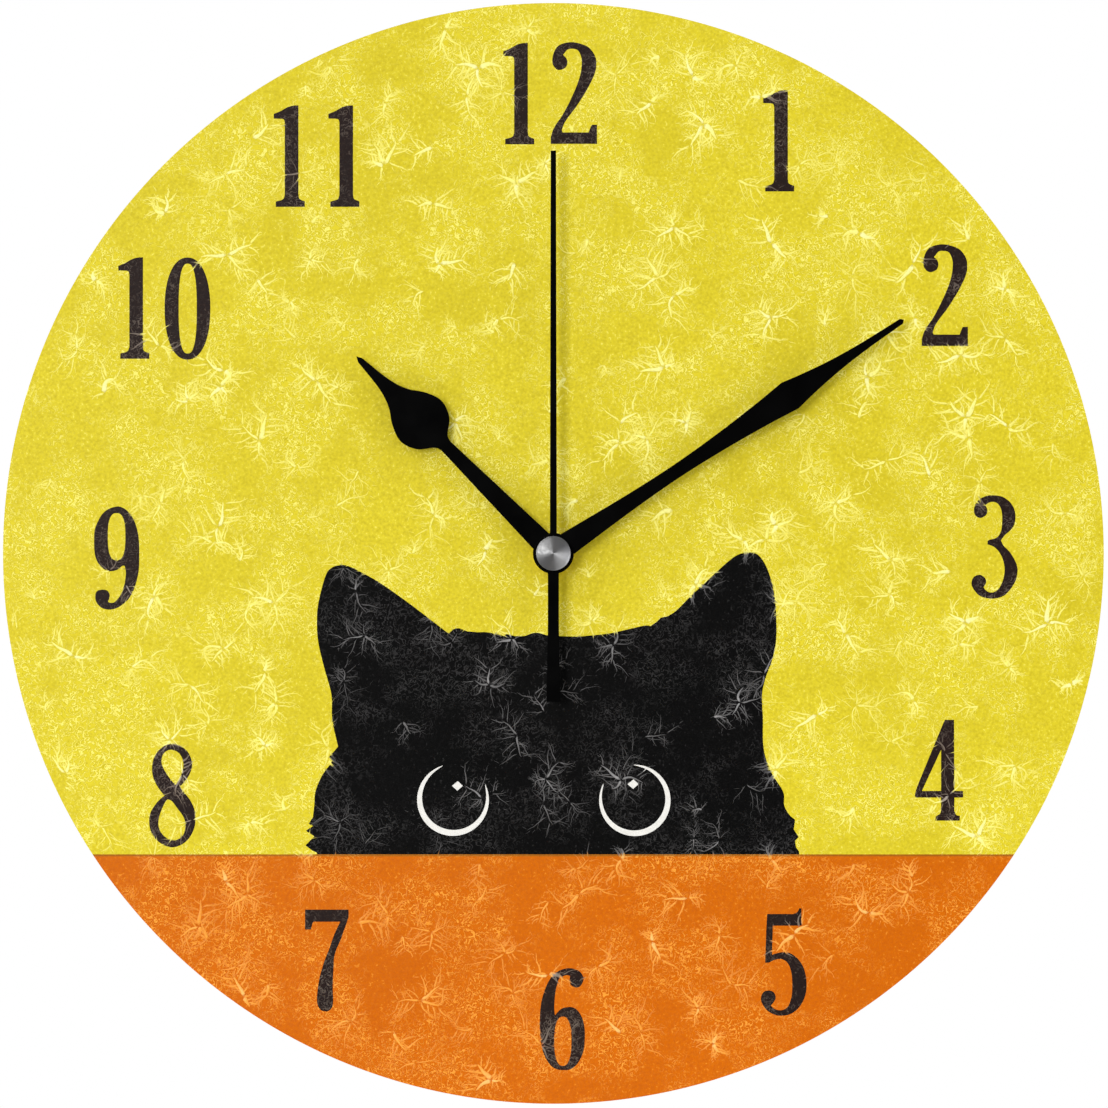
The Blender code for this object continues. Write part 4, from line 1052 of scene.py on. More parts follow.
EIGHT: tuple[Run, ...] = (
    ((1.5, 2.15), (2.5, 1.0), (3.8, -0.7), (4.8, -2.7), (5.1, -4.85), (4.9, -7.0), (4.0, -9.0),
     (2.65, -10.5), (1.0, -11.35), (-0.5, -11.55), (-2.2, -11.0), (-4.0, -9.6), (-5.1, -7.7),
     (-5.4, -5.7), (-5.1, -3.7), (-4.1, -2.0), (-3.0, -0.7)),
    ((-1.9, 0.2), (-3.0, 1.5), (-4.0, 3.15), (-4.65, 5.0), (-4.7, 7.15), (-4.2, 9.0),
     (-3.2, 10.5), (-1.7, 11.6), (-0.1, 11.9), (1.5, 11.6), (3.15, 10.4), (4.0, 8.9),
     (4.35, 7.15), (3.9, 5.3), (2.9, 3.65)))
EIGHT_TOP: tuple[Run, ...] = (
    ((0.4, 2.8), (-1.0, 4.5), (-2.1, 6.3), (-2.6, 7.8), (-2.35, 9.3), (-1.5, 10.3), (-0.2, 10.6),
     (1.3, 9.9), (2.15, 8.5), (2.35, 7.0), (1.9, 5.0), (0.9, 3.0)),)
EIGHT_BASE: tuple[Run, ...] = (
    ((-1.2, -0.7), (-0.2, -1.1), (1.0, -2.7), (2.3, -4.5), (2.85, -6.2), (2.65, -8.0),
     (1.8, -9.35), (0.3, -10.0), (-1.35, -9.5), (-2.7, -8.2), (-3.3, -6.5), (-3.1, -4.5),
     (-2.35, -2.5), (-1.7, -1.2)),)
NINE: tuple[Run, ...] = (
    ((1.75, -1.7), (2.0, -3.0), (1.9, -4.5), (1.6, -6.2), (0.85, -8.2), (-0.3, -9.7),
     (-1.15, -10.1), (-2.0, -9.85)),
    ((-1.8, -9.2), (-1.65, -8.35), (-2.1, -7.4), (-3.0, -7.1), (-4.4, -7.3), (-4.9, -8.2),
     (-4.8, -9.7), (-3.8, -11.0), (-2.5, -11.55), (-1.0, -11.55), (0.7, -10.85), (2.5, -9.35),
     (3.85, -7.0), (4.6, -4.5), (5.0, -2.0), (5.05, 1.0), (5.0, 3.8), (4.6, 6.5), (3.7, 9.0),
     (2.35, 10.8), (1.1, 11.6), (0.0, 11.8), (-1.8, 11.3), (-3.3, 10.15), (-4.4, 8.3),
     (-5.1, 6.3), (-5.2, 4.0), (-5.15, 1.8), (-4.8, 0.0), (-3.9, -1.6), (-2.65, -2.6),
     (-1.4, -2.9), (0.0, -2.6), (1.2, -1.7)))


def oval(centre: Point, half: Point, power: float, sides: int = 72) -> Array:
    """A squarish oval: x and z are the half sizes times cosine and sine to the 2 / power."""
    angle = np.linspace(0.0, math.tau, sides, endpoint=False)
    turns = np.column_stack([np.cos(angle), np.sin(angle)])
    return np.array(centre) + np.array(half) * np.sign(turns) * np.abs(turns) ** (2 / power)


def crescent(centre: Point, radius: float, first: float, last: float, width: float) -> Array:
    """A ring that thins to nothing at both ends.

    Its width at the fraction t of the way round is the widest times sin(pi t) to the 0.6,
    inwards from the outer circle.

    Args:
        centre: The centre of its outer circle.
        radius: The radius of its outer circle.
        first: The angle that it starts at, clockwise from twelve, in degrees.
        last: The angle that it ends at.
        width: Its greatest width.

    Returns:
        The outline, one point in each row.
    """
    steps = 72
    outer = arc(radius, first, last, steps, centre)
    fraction = np.linspace(0.0, 1.0, steps + 1)[:, None]
    inwards = (np.array(centre) - outer) / radius
    inner = outer + inwards * width * np.sin(math.pi * fraction) ** 0.6
    return np.concatenate([outer, inner[-2:0:-1]])


# One of each numeral's strokes and the holes in them, by its name
ZERO_RINGS = (oval((-0.3, 0.2), (5.2, 11.6), 2.2), oval((-0.25, 0.2), (2.05, 10.2), 2.6))
DIGITS: dict[str, tuple[Array, ...]] = {
    "0": ZERO_RINGS,
    "1": (outline(ONE),),
    "2": (outline(TWO),),
    "3": (outline(THREE),),
    "4": (outline(FOUR), outline(FOUR_EYE)),
    "5": (outline(FIVE),),
    "6": (outline(SIX), oval((-0.05, -5.1), (1.95, 5.6), 2.4)),
    "7": (outline(SEVEN),),
    "8": (outline(EIGHT), outline(EIGHT_TOP), outline(EIGHT_BASE)),
    "9": (outline(NINE), oval((-0.1, 4.95), (2.0, 5.35), 2.6)),
}
# Each digit on the face with the place of its middle
DIAL: tuple[tuple[str, Point], ...] = (
    ("1", (-7.65, 104.1)), ("2", (4.9, 104.1)), ("1", (51.4, 93.4)), ("2", (89.15, 58.2)),
    ("3", (100.5, 1.35)), ("4", (87.7, -49.6)), ("5", (52.25, -93.5)), ("6", (2.2, -105.7)),
    ("7", (-51.4, -92.3)), ("8", (-86.4, -55.2)), ("9", (-99.1, -1.15)), ("1", (-95.05, 55.4)),
    ("0", (-82.8, 55.4)), ("1", (-59.75, 89.9)), ("1", (-47.35, 89.9)))

# The cat's head from the left of the table round to the right: the fur's spikes are corners
CAT: tuple[Run, ...] = (
    (-53.7, -72.0), (-53.7, -68.0), (-54.9, -67.4), (-56.3, -66.3),
    (-54.3, -64.25), (-56.2, -63.0), (-54.6, -61.9), (-55.6, -61.4),
    ((-54.6, -59.9), (-54.3, -57.0), (-54.0, -53.9), (-52.4, -50.2), (-50.4, -47.4)),
    (-51.1, -46.4),
    ((-48.9, -43.9), (-50.25, -37.7), (-50.4, -32.1), (-52.1, -25.8), (-53.4, -20.2),
     (-53.7, -15.8), (-53.4, -11.4), (-51.8, -5.2), (-50.4, -3.3), (-48.7, -2.7), (-46.8, -2.8),
     (-43.7, -4.25), (-39.3, -6.75), (-33.1, -11.1), (-28.1, -14.9)),
    (-23.8, -18.2), ((-22.75, -17.25), (-21.5, -17.0)), (-19.6, -17.7),
    ((-17.4, -17.9), (-15.25, -17.9), (-13.1, -18.3)), (-11.2, -18.8), (-10.7, -18.3),
    (-8.7, -18.8), ((-6.5, -18.75), (-4.0, -18.0)), (-1.5, -18.6),
    ((1.9, -18.8), (5.1, -18.9), (7.25, -18.75), (12.6, -18.2), (16.9, -17.25), (20.7, -16.4)),
    (22.1, -16.5), (23.5, -15.5), (24.4, -14.6),
    ((26.0, -14.25), (27.9, -13.0), (31.3, -9.6), (35.7, -5.5), (39.4, -2.1), (41.9, -0.3),
     (44.4, 0.2), (46.3, -0.2), (47.9, -2.1), (49.1, -4.9), (50.1, -8.9), (50.6, -13.9),
     (50.6, -19.6), (49.75, -24.0), (48.2, -28.3), (47.4, -32.1), (47.6, -37.7),
     (47.6, -42.7), (48.2, -46.4), (49.75, -50.2), (52.25, -54.25), (52.4, -57.1),
     (53.5, -59.25)),
    (54.9, -60.5), (54.6, -62.7), (55.7, -64.4), (54.9, -65.3), (55.1, -66.75),
    (55.8, -67.7), (55.8, -72.0))
EYES = (crescent((-22.8, -56.0), 8.15, -16.0, -296.6, 1.36),
        crescent((18.5, -56.1), 8.1, -61.0, -362.5, 1.32))
GLINTS = tuple(np.array(centre) + np.array([(0.1, 1.08), (1.25, 0.0), (0.0, -1.08), (-1.25, 0.0)])
               for centre in ((-21.8, -52.8), (18.1, -52.4)))


@dataclass
class Face:
    """The printed disc: its board, the film with the picture, and the film's creases.

    Attributes:
        table: The height of the table's top, in millimetres.
        table_edge: The thickness of the line along the table's top.
        rim_sides: How many sides the disc's outline has.
        hole_radius: The radius of its hole, in metres.
        hole_sides: How many sides its hole has.
        board_edge: The rounding of the board's edges, in metres.
        spacing: The mean distance between two centres of creasing, in millimetres.
        height: The greatest height of a crease over the film, in millimetres.
        seed: The seed of every random draw.
    """

    table: float = -68.35
    table_edge: float = 0.45
    rim_sides: int = 360
    hole_radius: float = 3.8 * MM
    hole_sides: int = 64
    board_edge: float = 0.25 * MM
    spacing: float = 13.2
    height: float = 0.085
    seed: int = 20

    def __post_init__(self) -> None:
        """Reads the sizes of the film and its board."""
        low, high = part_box("face_film")
        self.radius = (high[0] - low[0]) / 2
        self.front, self.rear = low[1], high[1]
        self.cat = outline(CAT)
        self.digits = [[loop + np.array(middle) for loop in DIGITS[name]]
                       for name, middle in DIAL]

    def ink_at(self, points: Array) -> Array:
        """The ink at each of some points, in millimetres, as its number.

        Args:
            points: Where to look, as x and z in millimetres.

        Returns:
            The number of each point's ink.
        """
        inks = np.full(len(points), Ink.YELLOW.value)
        inks[inside(points, self.cat)] = Ink.CAT.value
        for loop in EYES + GLINTS:
            inks[inside(points, loop)] = Ink.EYE.value
        inks[points[:, 1] < self.table] = Ink.EDGE.value
        inks[points[:, 1] < self.table - self.table_edge] = Ink.ORANGE.value
        for loops in self.digits:
            stroke = np.zeros(len(points), bool)
            for loop in loops:
                stroke ^= inside(points, loop)
            inks[stroke] = Ink.NUMERAL.value
        return inks

    def film(self, inks: list[bpy.types.Material]) -> None:
        """Builds the printed film: one plate, with each of its front triangles in its ink.

        Args:
            inks: The materials, in the order of the inks' numbers.
        """
        disc = circle(self.radius / MM, self.rim_sides)
        hole = circle(self.hole_radius / MM, self.hole_sides)
        reach = 1.05 * self.radius / MM
        bands = [np.array([(-reach, -reach), (reach, -reach), (reach, top), (-reach, top)])
                 for top in (self.table, self.table - self.table_edge)]
        strokes = [loop for loops in self.digits for loop in loops]
        flat = filled([disc, hole, *bands, self.cat, *EYES, *GLINTS, *strokes])
        middles = flat.points[flat.faces].mean(axis=1)
        kept = inside(middles, disc) & ~inside(middles, hole)
        flat = used(Shape(flat.points, flat.faces[kept]))
        numbers = self.ink_at(middles[kept])
        solid = thickened(Shape(flat.points * MM, flat.faces), self.front, self.rear)
        mesh = mesh_of("printed_film", solid)
        piece = place(mesh, Body.CLOCK, inks, ("face_film",), crease=0.0)
        edge = np.full(len(solid.faces) - 2 * len(numbers), Ink.EYE.value)
        everywhere = np.concatenate([numbers, np.full(len(numbers), Ink.EYE.value), edge])
        piece.data.polygons.foreach_set("material_index", everywhere.astype(np.int32))

    def board(self, finish: bpy.types.Material) -> None:
        """Builds the board: a disc with a hole, turned from a squarish section.

        Args:
            finish: The fibreboard.
        """
        low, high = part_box("dial_board")
        section = np.array([(self.hole_radius, low[1]), (self.radius, low[1]),
                            (self.radius, high[1]), (self.hole_radius, high[1])])
        rounded = softened(section, self.board_edge)
        mesh = mesh_of("dial_board_disc", turned(rounded, self.rim_sides))
        seal(mesh)
        place(mesh, Body.CLOCK, [finish], ("dial_board",))


@dataclass(frozen=True)
class Strands:
    """Creases of one order, each row or entry one of them, in millimetres and radians."""

    start: Array
    heading: Array
    length: Array
    width: Array
    bend: Array
    strength: Array

    def at(self, fraction: Array) -> tuple[Array, Array]:
        """Points and headings along every crease, which turns by its bend as it goes.

        Args:
            fraction: How far along to look, from 0 to 1, in equal steps from 0.

        Returns:
            The points, by crease and fraction, and the headings there.
        """
        wander = 0.16 * np.sin(9.0 * fraction[None, :] + 40.0 * self.bend[:, None])
        heading = self.heading[:, None] + self.bend[:, None] * fraction[None, :] + wander
        step = self.length[:, None] * np.diff(fraction, prepend=0.0)[None, :]
        along = np.stack([np.sin(heading), np.cos(heading)], axis=-1) * step[..., None]
        return self.start[:, None, :] + np.cumsum(along, axis=1), heading

    def chosen(self, kept: Array) -> "Strands":
        """Only the creases that a mask keeps."""
        return Strands(*(getattr(self, name)[kept] for name in self.__dataclass_fields__))


class Section(NamedTuple):
    """Corners across a crease, from left to right.

    Attributes:
        across: Their places, from -1 at its left foot to 1 at its right foot.
        rise: Their heights beside the crease's own.
        pale: Their painted highlight beside the crease's own. Those below zero are darkened as
            painted shade.
    """

    across: tuple[float, ...]
    rise: tuple[float, ...]
    pale: tuple[float, ...]


# Both sections pale a crease's top as a painted highlight and darken its feet as painted shade
ROLL = Section((-1.0, -0.62, 0.0, 0.62, 1.0), (0.0, 0.8, 1.0, 0.8, 0.0),
               (-0.8, 0.85, 1.0, 0.85, -0.8))
TENT = Section((-1.0, 0.0, 1.0), (0.0, 1.0, 0.0), (-0.35, 1.0, -0.35))


@dataclass(frozen=True)
class Order:
    """How the creases of one order leave those of the order before.

    Attributes:
        each: How many leave each parent.
        start: The part of the parent, from 0 to 1, that none of them leave.
        length: Their shortest and greatest length, in millimetres.
        width: Their least and greatest width.
        turn: The least and greatest angle between them and their parent, in degrees.
        strength: Their least and greatest paleness, a painted highlight, beside their parent's.
        pieces: How many pieces each is made of along its length.
    """

    each: int
    start: float
    length: Point
    width: Point
    turn: Point
    strength: Point
    pieces: int


ARMS = Order(8, 0.0, (1.8, 5.2), (0.46, 0.82), (38.0, 88.0), (0.50, 0.75), 5)
COMBS = Order(4, 0.22, (0.9, 2.1), (0.34, 0.54), (28.0, 70.0), (0.75, 1.0), 3)


@dataclass
class Creases:
    """The raised creases of the film: trunks from each centre, then arms, then fine combs.

    Attributes:
        face: The face that they lie on.
        shake: How far a centre strays from its grid, beside the grid's spacing.
        missing: The share of the centres that are left out.
        trunks: The fewest and most trunks at a centre.
        trunk_length: Their shortest and greatest length, in millimetres.
        trunk_width: Their least and greatest width.
        trunk_size: The least and greatest size of a centre beside the others.
        trunk_strength: The least and greatest paleness, a painted highlight, of its trunks beside
            its size. Above one, a trunk whitens as a painted glint.
        trunk_pieces: How many pieces each is made of along its length.
        embedded: How far the creases' base lies within the film, in millimetres.
        keep_off: The radius round the hands' axis that is kept clear.
        narrower: The width of the creases in the black beside those in the other inks.
    """

    face: Face
    shake: float = 0.45
    missing: float = 0.12
    trunks: tuple[int, int] = (1, 3)
    trunk_length: Point = (2.4, 6.6)
    trunk_width: Point = (0.8, 1.7)
    trunk_size: Point = (0.45, 1.0)
    trunk_strength: Point = (1.3, 2.4)
    trunk_pieces: int = 7
    embedded: float = 0.015
    keep_off: float = 6.0
    narrower: float = 0.55

    def centres(self, draw: np.random.Generator) -> Array:
        """Centres of creasing: a hexagonal grid, shaken, with some of its places left out.

        Args:
            draw: The source of random numbers.

        Returns:
            The centres, one in each row, in millimetres.
        """
        pitch, reach = self.face.spacing, self.face.radius / MM
        count = int(reach / pitch) + 2
        row, column = np.meshgrid(np.arange(-count, count + 1), np.arange(-count, count + 1))
        grid = np.column_stack([(column.ravel() + 0.5 * (row.ravel() % 2)) * pitch,
                                row.ravel() * pitch * math.sqrt(0.75)])
        grid = grid + draw.uniform(-self.shake, self.shake, grid.shape) * pitch
        away = np.hypot(*grid.T)
        margin = 2.0
        return grid[(away < reach - margin) & (away > self.keep_off + margin)
                    & (draw.random(len(grid)) > self.missing)]

    def first_order(self, draw: np.random.Generator) -> Strands:
        """The trunks: each centre's turn away from it, spread round a full turn.

        Args:
            draw: The seeded random draws.

        Returns:
            The trunks of all the centres.
        """
        centres = self.centres(draw)
        count = draw.integers(*self.trunks, len(centres), endpoint=True)
        parent = np.repeat(np.arange(len(centres)), count)
        order = np.arange(len(parent)) - np.repeat(np.cumsum(count) - count, count)
        base = draw.uniform(0.0, math.tau, len(centres))[parent]
        heading = base + math.tau * order / count[parent] + draw.normal(0.0, 0.35, len(parent))
        size = draw.uniform(*self.trunk_size, len(centres))[parent]
        return Strands(centres[parent], heading, draw.uniform(*self.trunk_length, len(parent)),
                       size * draw.uniform(*self.trunk_width, len(parent)),
                       draw.normal(0.0, 0.8, len(parent)),
                       np.clip(size * draw.uniform(*self.trunk_strength, len(parent)),
                               0.9, 2.0))

    def next_order(self, parents: Strands, order: Order, draw: np.random.Generator) -> Strands:
        """Side creases along others, by turns to the left and to the right.

        Args:
            parents: The creases that they leave.
            order: How they leave them.
            draw: The source of random numbers.

        Returns:
            The side creases.
        """
        places = 32
        points, headings = parents.at(np.linspace(0.0, 1.0, places + 1))
        shape = (len(parents.length), order.each)
        spread = (np.arange(order.each) + draw.uniform(0.1, 0.9, shape)) / order.each
        spread = order.start + (0.97 - order.start) * spread
        index = (spread * places).astype(int)
        row = np.arange(shape[0])[:, None]
        first = draw.integers(0, 2, (shape[0], 1))
        side = np.where((np.arange(order.each) + first) % 2 == 0, 1.0, -1.0)
        turn = side * np.radians(draw.uniform(*order.turn, shape))
        parent_size = np.clip(parents.length[:, None] / 4.0, 0.6, 1.3)
        return Strands(
            points[row, index].reshape(-1, 2), (headings[row, index] + turn).ravel(),
            (parent_size * draw.uniform(*order.length, shape)).ravel(),
            np.minimum(draw.uniform(*order.width, shape), 0.8 * parents.width[:, None]).ravel(),
            (-side * draw.uniform(-0.3, 1.0, shape)).ravel(),
            np.minimum(parents.strength[:, None] * draw.uniform(*order.strength, shape),
                       1.0).ravel())

    def raised(self, strands: Strands, pieces: int, section: Section) -> tuple[Shape, Array]:
        """Ridges over creases: a section carried along each, drawn to a point at both ends.

        A crease's width at the fraction t along it is the greatest times (1 - t) to the 0.6,
        and its height keeps to the width.

        Args:
            strands: The creases.
            pieces: How many pieces each has along it.
            section: The corners across them.

        Returns:
            The shape in metres, and the strength of the crease's painted highlight at each point,
            below zero for painted shade at its feet.
        """
        fraction = np.linspace(0.0, 1.0, pieces + 1)
        middle, heading = strands.at(fraction)
        half = 0.5 * strands.width[:, None] * (1.0 - fraction[None, :]) ** 0.6
        across = np.stack([np.cos(heading), -np.sin(heading)], axis=-1) * half[..., None]
        rise = self.face.height * np.clip(half / 0.45, 0.25, 1.0)
        foot = self.face.front / MM + self.embedded
        flat = middle[:, :, None] + across[:, :, None] * np.array(section.across)[:, None]
        depth = foot - (rise[..., None] + self.embedded) * np.array(section.rise)
        rings = np.stack([flat[..., 0], depth, flat[..., 1]], axis=-1)[:, 1:-1]
        ends = np.stack([middle[:, [0, -1], 0], np.full((len(middle), 2), foot),
                         middle[:, [0, -1], 1]], axis=-1)
        points = np.concatenate([ends[:, :1], rings.reshape(len(middle), -1, 3), ends[:, 1:]],
                                axis=1)
        count = len(section.across)
        left = np.arange(count)
        right = (left + 1) % count
        ring = 1 + count * np.arange(pieces - 2)[:, None]
        a, b, c, d = (corner.ravel() for corner in (ring + left, ring + right,
                                                    ring + right + count, ring + left + count))
        first, last, tail = 0 * left, 0 * left + points.shape[1] - 1, points.shape[1] - 1 - count
        pattern = np.concatenate([np.column_stack(corners) for corners in (
            (a, b, c), (a, c, d), (first, 1 + right, 1 + left),
            (tail + right, last, tail + left))])
        faces = pattern[None] + points.shape[1] * np.arange(len(points))[:, None, None]
        # The painted highlight fades along the crease; its start is darkened as painted shade and
        # its tip is lightly paled
        fade = (1.0 - 0.45 * fraction[1:-1])[:, None] * np.array(section.pale)
        along = np.concatenate([[-0.5], fade.ravel(), [0.2]])
        strength = strands.strength[:, None] * along
        return Shape(points.reshape(-1, 3) * MM, faces.reshape(-1, 3)), strength.ravel()

    def build(self, inks: dict[Ink, PrintedInk], films: dict[Ink, bpy.types.Material]) -> None:
        """Grows the creases and builds a piece for each ground that they start on.

        Args:
            inks: The inks, which give the creases their colours.
            films: The material of the creases over each ground.
        """
        draw = np.random.default_rng(self.face.seed)
        trunks = self.first_order(draw)
        arms = self.next_order(trunks, ARMS, draw)
        combs = self.next_order(arms, COMBS, draw)
        for ground, film in films.items():
            name = ground.name.lower()
            self.piece(f"creases_{name}", ground, inks, film,
                       [(trunks, self.trunk_pieces), (arms, ARMS.pieces)], ROLL)
            self.piece(f"fine_creases_{name}", ground, inks, film, [(combs, COMBS.pieces)], TENT)

    def piece(self, name: str, ground: Ink, inks: dict[Ink, PrintedInk],
              film: bpy.types.Material, orders: list[tuple[Strands, int]],
              section: Section) -> None:
        """Builds the creases that start on one ground, each in the colour of what it crosses.

        Args:
            name: The piece's name.
            ground: The ink that they start on. Numerals count as the cat's black.
            inks: The inks, which give the creases their colours.
            film: Their material.
            orders: Creases, with how many pieces each is made of along its length.
            section: The corners across them.
        """
        alike = {Ink.YELLOW: (Ink.YELLOW.value,), Ink.ORANGE: (Ink.ORANGE.value, Ink.EDGE.value),
                 Ink.CAT: (Ink.CAT.value, Ink.NUMERAL.value)}[ground]
        reach = self.face.radius / MM - 0.8
        parts = []
        for strands, pieces in orders:
            path, _ = strands.at(np.linspace(0.0, 1.0, 8))
            away = np.hypot(path[..., 0], path[..., 1])
            clear = (away.max(axis=1) < reach) & (away.min(axis=1) > self.keep_off)
            here = np.isin(self.face.ink_at(strands.start), alike)
            chosen = strands.chosen(clear & here)
            on_path = path[clear & here]
            crossed = self.face.ink_at(on_path.reshape(-1, 2)).reshape(on_path.shape[:2])
            chosen = chosen.chosen((crossed != Ink.EYE.value).all(axis=1))
            if ground is Ink.CAT:
                chosen = replace(chosen, width=self.narrower * chosen.width)
            parts.append(self.raised(chosen, pieces, section))
        shape = together([part for part, _ in parts])
        strength = np.concatenate([part for _, part in parts])[:, None]
        below = self.face.ink_at(shape.points[:, [0, 2]] / MM)
        # Each point's colour: the ink's pale as a painted highlight on top, its dark as painted
        # shade at the feet, and the strongest trunks whitened further as a painted glint
        ground_there, pale_there, painted_shade_there = (
            np.array([getattr(inks[ink], shade) for ink in Ink])[below]
            for shade in ("ground", "pale", "dark"))
        towards = np.where(strength > 0, pale_there, painted_shade_there)
        colour = ground_there + (towards - ground_there) * np.clip(np.abs(strength), 0.0, 1.0)
        painted_glint = (np.sqrt(pale_there) - pale_there) * np.clip(strength - 1.0, 0.0, 1.0)
        tint = np.column_stack([colour + painted_glint, np.ones(len(below))])
        mesh = mesh_of(name, shape)
        stored = mesh.color_attributes.new("tint", "FLOAT_COLOR", "POINT")
        stored.data.foreach_set("color", tint.astype(np.float32).ravel())
        place(mesh, Body.CLOCK, [film], crease=80.0)


# Hands and their fixings


def halved(shape: Shape) -> Shape:
    """A shape's quads, each cut into two triangles."""
    quads = shape.faces
    return Shape(shape.points, np.concatenate([quads[:, [0, 1, 2]], quads[:, [0, 2, 3]]]))


@dataclass
class Hand:
    """A flat hand on its tube, cut from a strip with straight or swelling sides.

    Attributes:
        node: The frame's node that it stands for.
        body: The body that it rides on.
        turn: Its angle at rest, clockwise from twelve, in degrees.
        sides: Stretches of its right side, each the distance from the axis and the half
            width at its points. A stretch of two points is straight, a longer one curves.
        tip: The distance of its point, or zero for a square end.
        hub: The radius of its hub.
        bore: The radius of its bore, or zero.
        collet: The outer radius and the rear of the tube behind it, or None.
        thickness: The thickness of the strip, in millimetres.
    """

    node: str
    body: Body
    turn: float
    sides: tuple[Run, ...]
    tip: float
    hub: float
    bore: float
    collet: Point | None
    thickness: float

    def edge(self) -> Array:
        """The outline, in millimetres, with the hand upright.

        Returns:
            The outline's points, one a row.
        """
        right = np.concatenate([through(np.array(run), 6 if len(run) > 2 else 1)
                                for run in self.sides] + [np.array(self.sides[-1][-1:])])
        right = right[:, ::-1]
        low = right[right[:, 1] < 0]
        high = right[right[:, 1] > 0]
        first = math.degrees(math.asin(high[0, 0] / self.hub))
        if len(low):
            last = 180.0 - math.degrees(math.asin(low[-1, 0] / self.hub))
            side = np.concatenate([low, arc(self.hub, last, first, 24), high])
        else:
            side = np.concatenate([arc(self.hub, 180.0, first, 40)[1:], high])
        point = np.array([(0.0, self.tip)]) if self.tip else np.empty((0, 2))
        mirrored = side[::-1] * np.array([-1.0, 1.0])
        start = np.array([(0.0, -self.hub)]) if not len(low) else np.empty((0, 2))
        return np.concatenate([start, side, point, mirrored])

    def build(self, finish: bpy.types.Material) -> None:
        """Cuts the hand, turns it to its angle, and joins its tube to it.

        Args:
            finish: The black enamel.
        """
        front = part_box(self.node)[0][1]
        angle = math.radians(self.turn)
        turned_to = np.array([(math.cos(angle), -math.sin(angle)),
                              (math.sin(angle), math.cos(angle))])
        loops = [self.edge() @ turned_to * MM]
        if self.bore:
            loops.append(circle(self.bore * MM, 64))
        shapes = [plate(loops, front, front + self.thickness * MM)]
        if self.collet:
            outer, rear = self.collet
            start = front + 0.5 * self.thickness * MM
            wall = np.array([(self.bore * MM, start), (outer * MM, start),
                             (outer * MM, rear * MM), (self.bore * MM, rear * MM)])
            shapes.append(halved(turned(wall, 96)))
        mesh = mesh_of(f"{self.node}_strip", together(shapes))
        seal(mesh, within=1e-8)
        piece = place(mesh, self.body, [finish], (self.node,))
        soften_edges(piece, FINE_EDGE)


HANDS = (
    Hand("hour_hand", Body.HOUR, -45.0,
         (((4.0, 2.5), (34.5, 1.45)),
          ((34.5, 1.45), (36.0, 2.1), (38.6, 5.2), (42.4, 6.55), (46.3, 5.3), (50.0, 2.9),
           (54.5, 1.5), (62.0, 0.65))),
         63.2, 4.65, 2.52, (3.2, -23.5), 0.4),
    Hand("minute_hand", Body.MINUTE, 56.3,
         (((4.0, 2.7), (20.0, 1.85), (33.0, 1.55), (45.0, 1.9), (56.0, 2.65), (64.5, 3.5)),
          ((64.5, 3.5), (70.0, 2.5), (77.0, 1.55), (85.0, 0.95), (94.8, 0.65))),
         95.5, 4.4, 1.77, (2.45, -25.1), 0.4),
    Hand("second_hand", Body.SECOND, 0.0,
         (((-33.6, 1.6), (-17.0, 1.25)), ((-17.0, 1.25), (-4.5, 1.05)),
          ((4.5, 0.78), (91.2, 0.6))),
         0.0, 2.2, 0.0, None, 0.3),
)


class Ring(NamedTuple):
    """A brass washer or plain nut round the hands' axis.

    Attributes:
        name: The piece's name.
        node: The node that it stands for, whose box gives its outside.
        body: The body that it rides on.
        bore: The radius of its hole.
        rounding: The radius of its edges.
    """

    name: str
    node: str
    body: Body
    bore: float
    rounding: float


RINGS = (
    Ring("tube_rivet", "second_hand_tube", Body.SECOND, 0.52 * MM, 0.04 * MM),
    Ring("open_hand_nut", "minute_hand_nut", Body.MINUTE, 1.77 * MM, 0.12 * MM),
    Ring("flat_washer", "front_washer", Body.CLOCK, 3.52 * MM, 0.05 * MM),
)


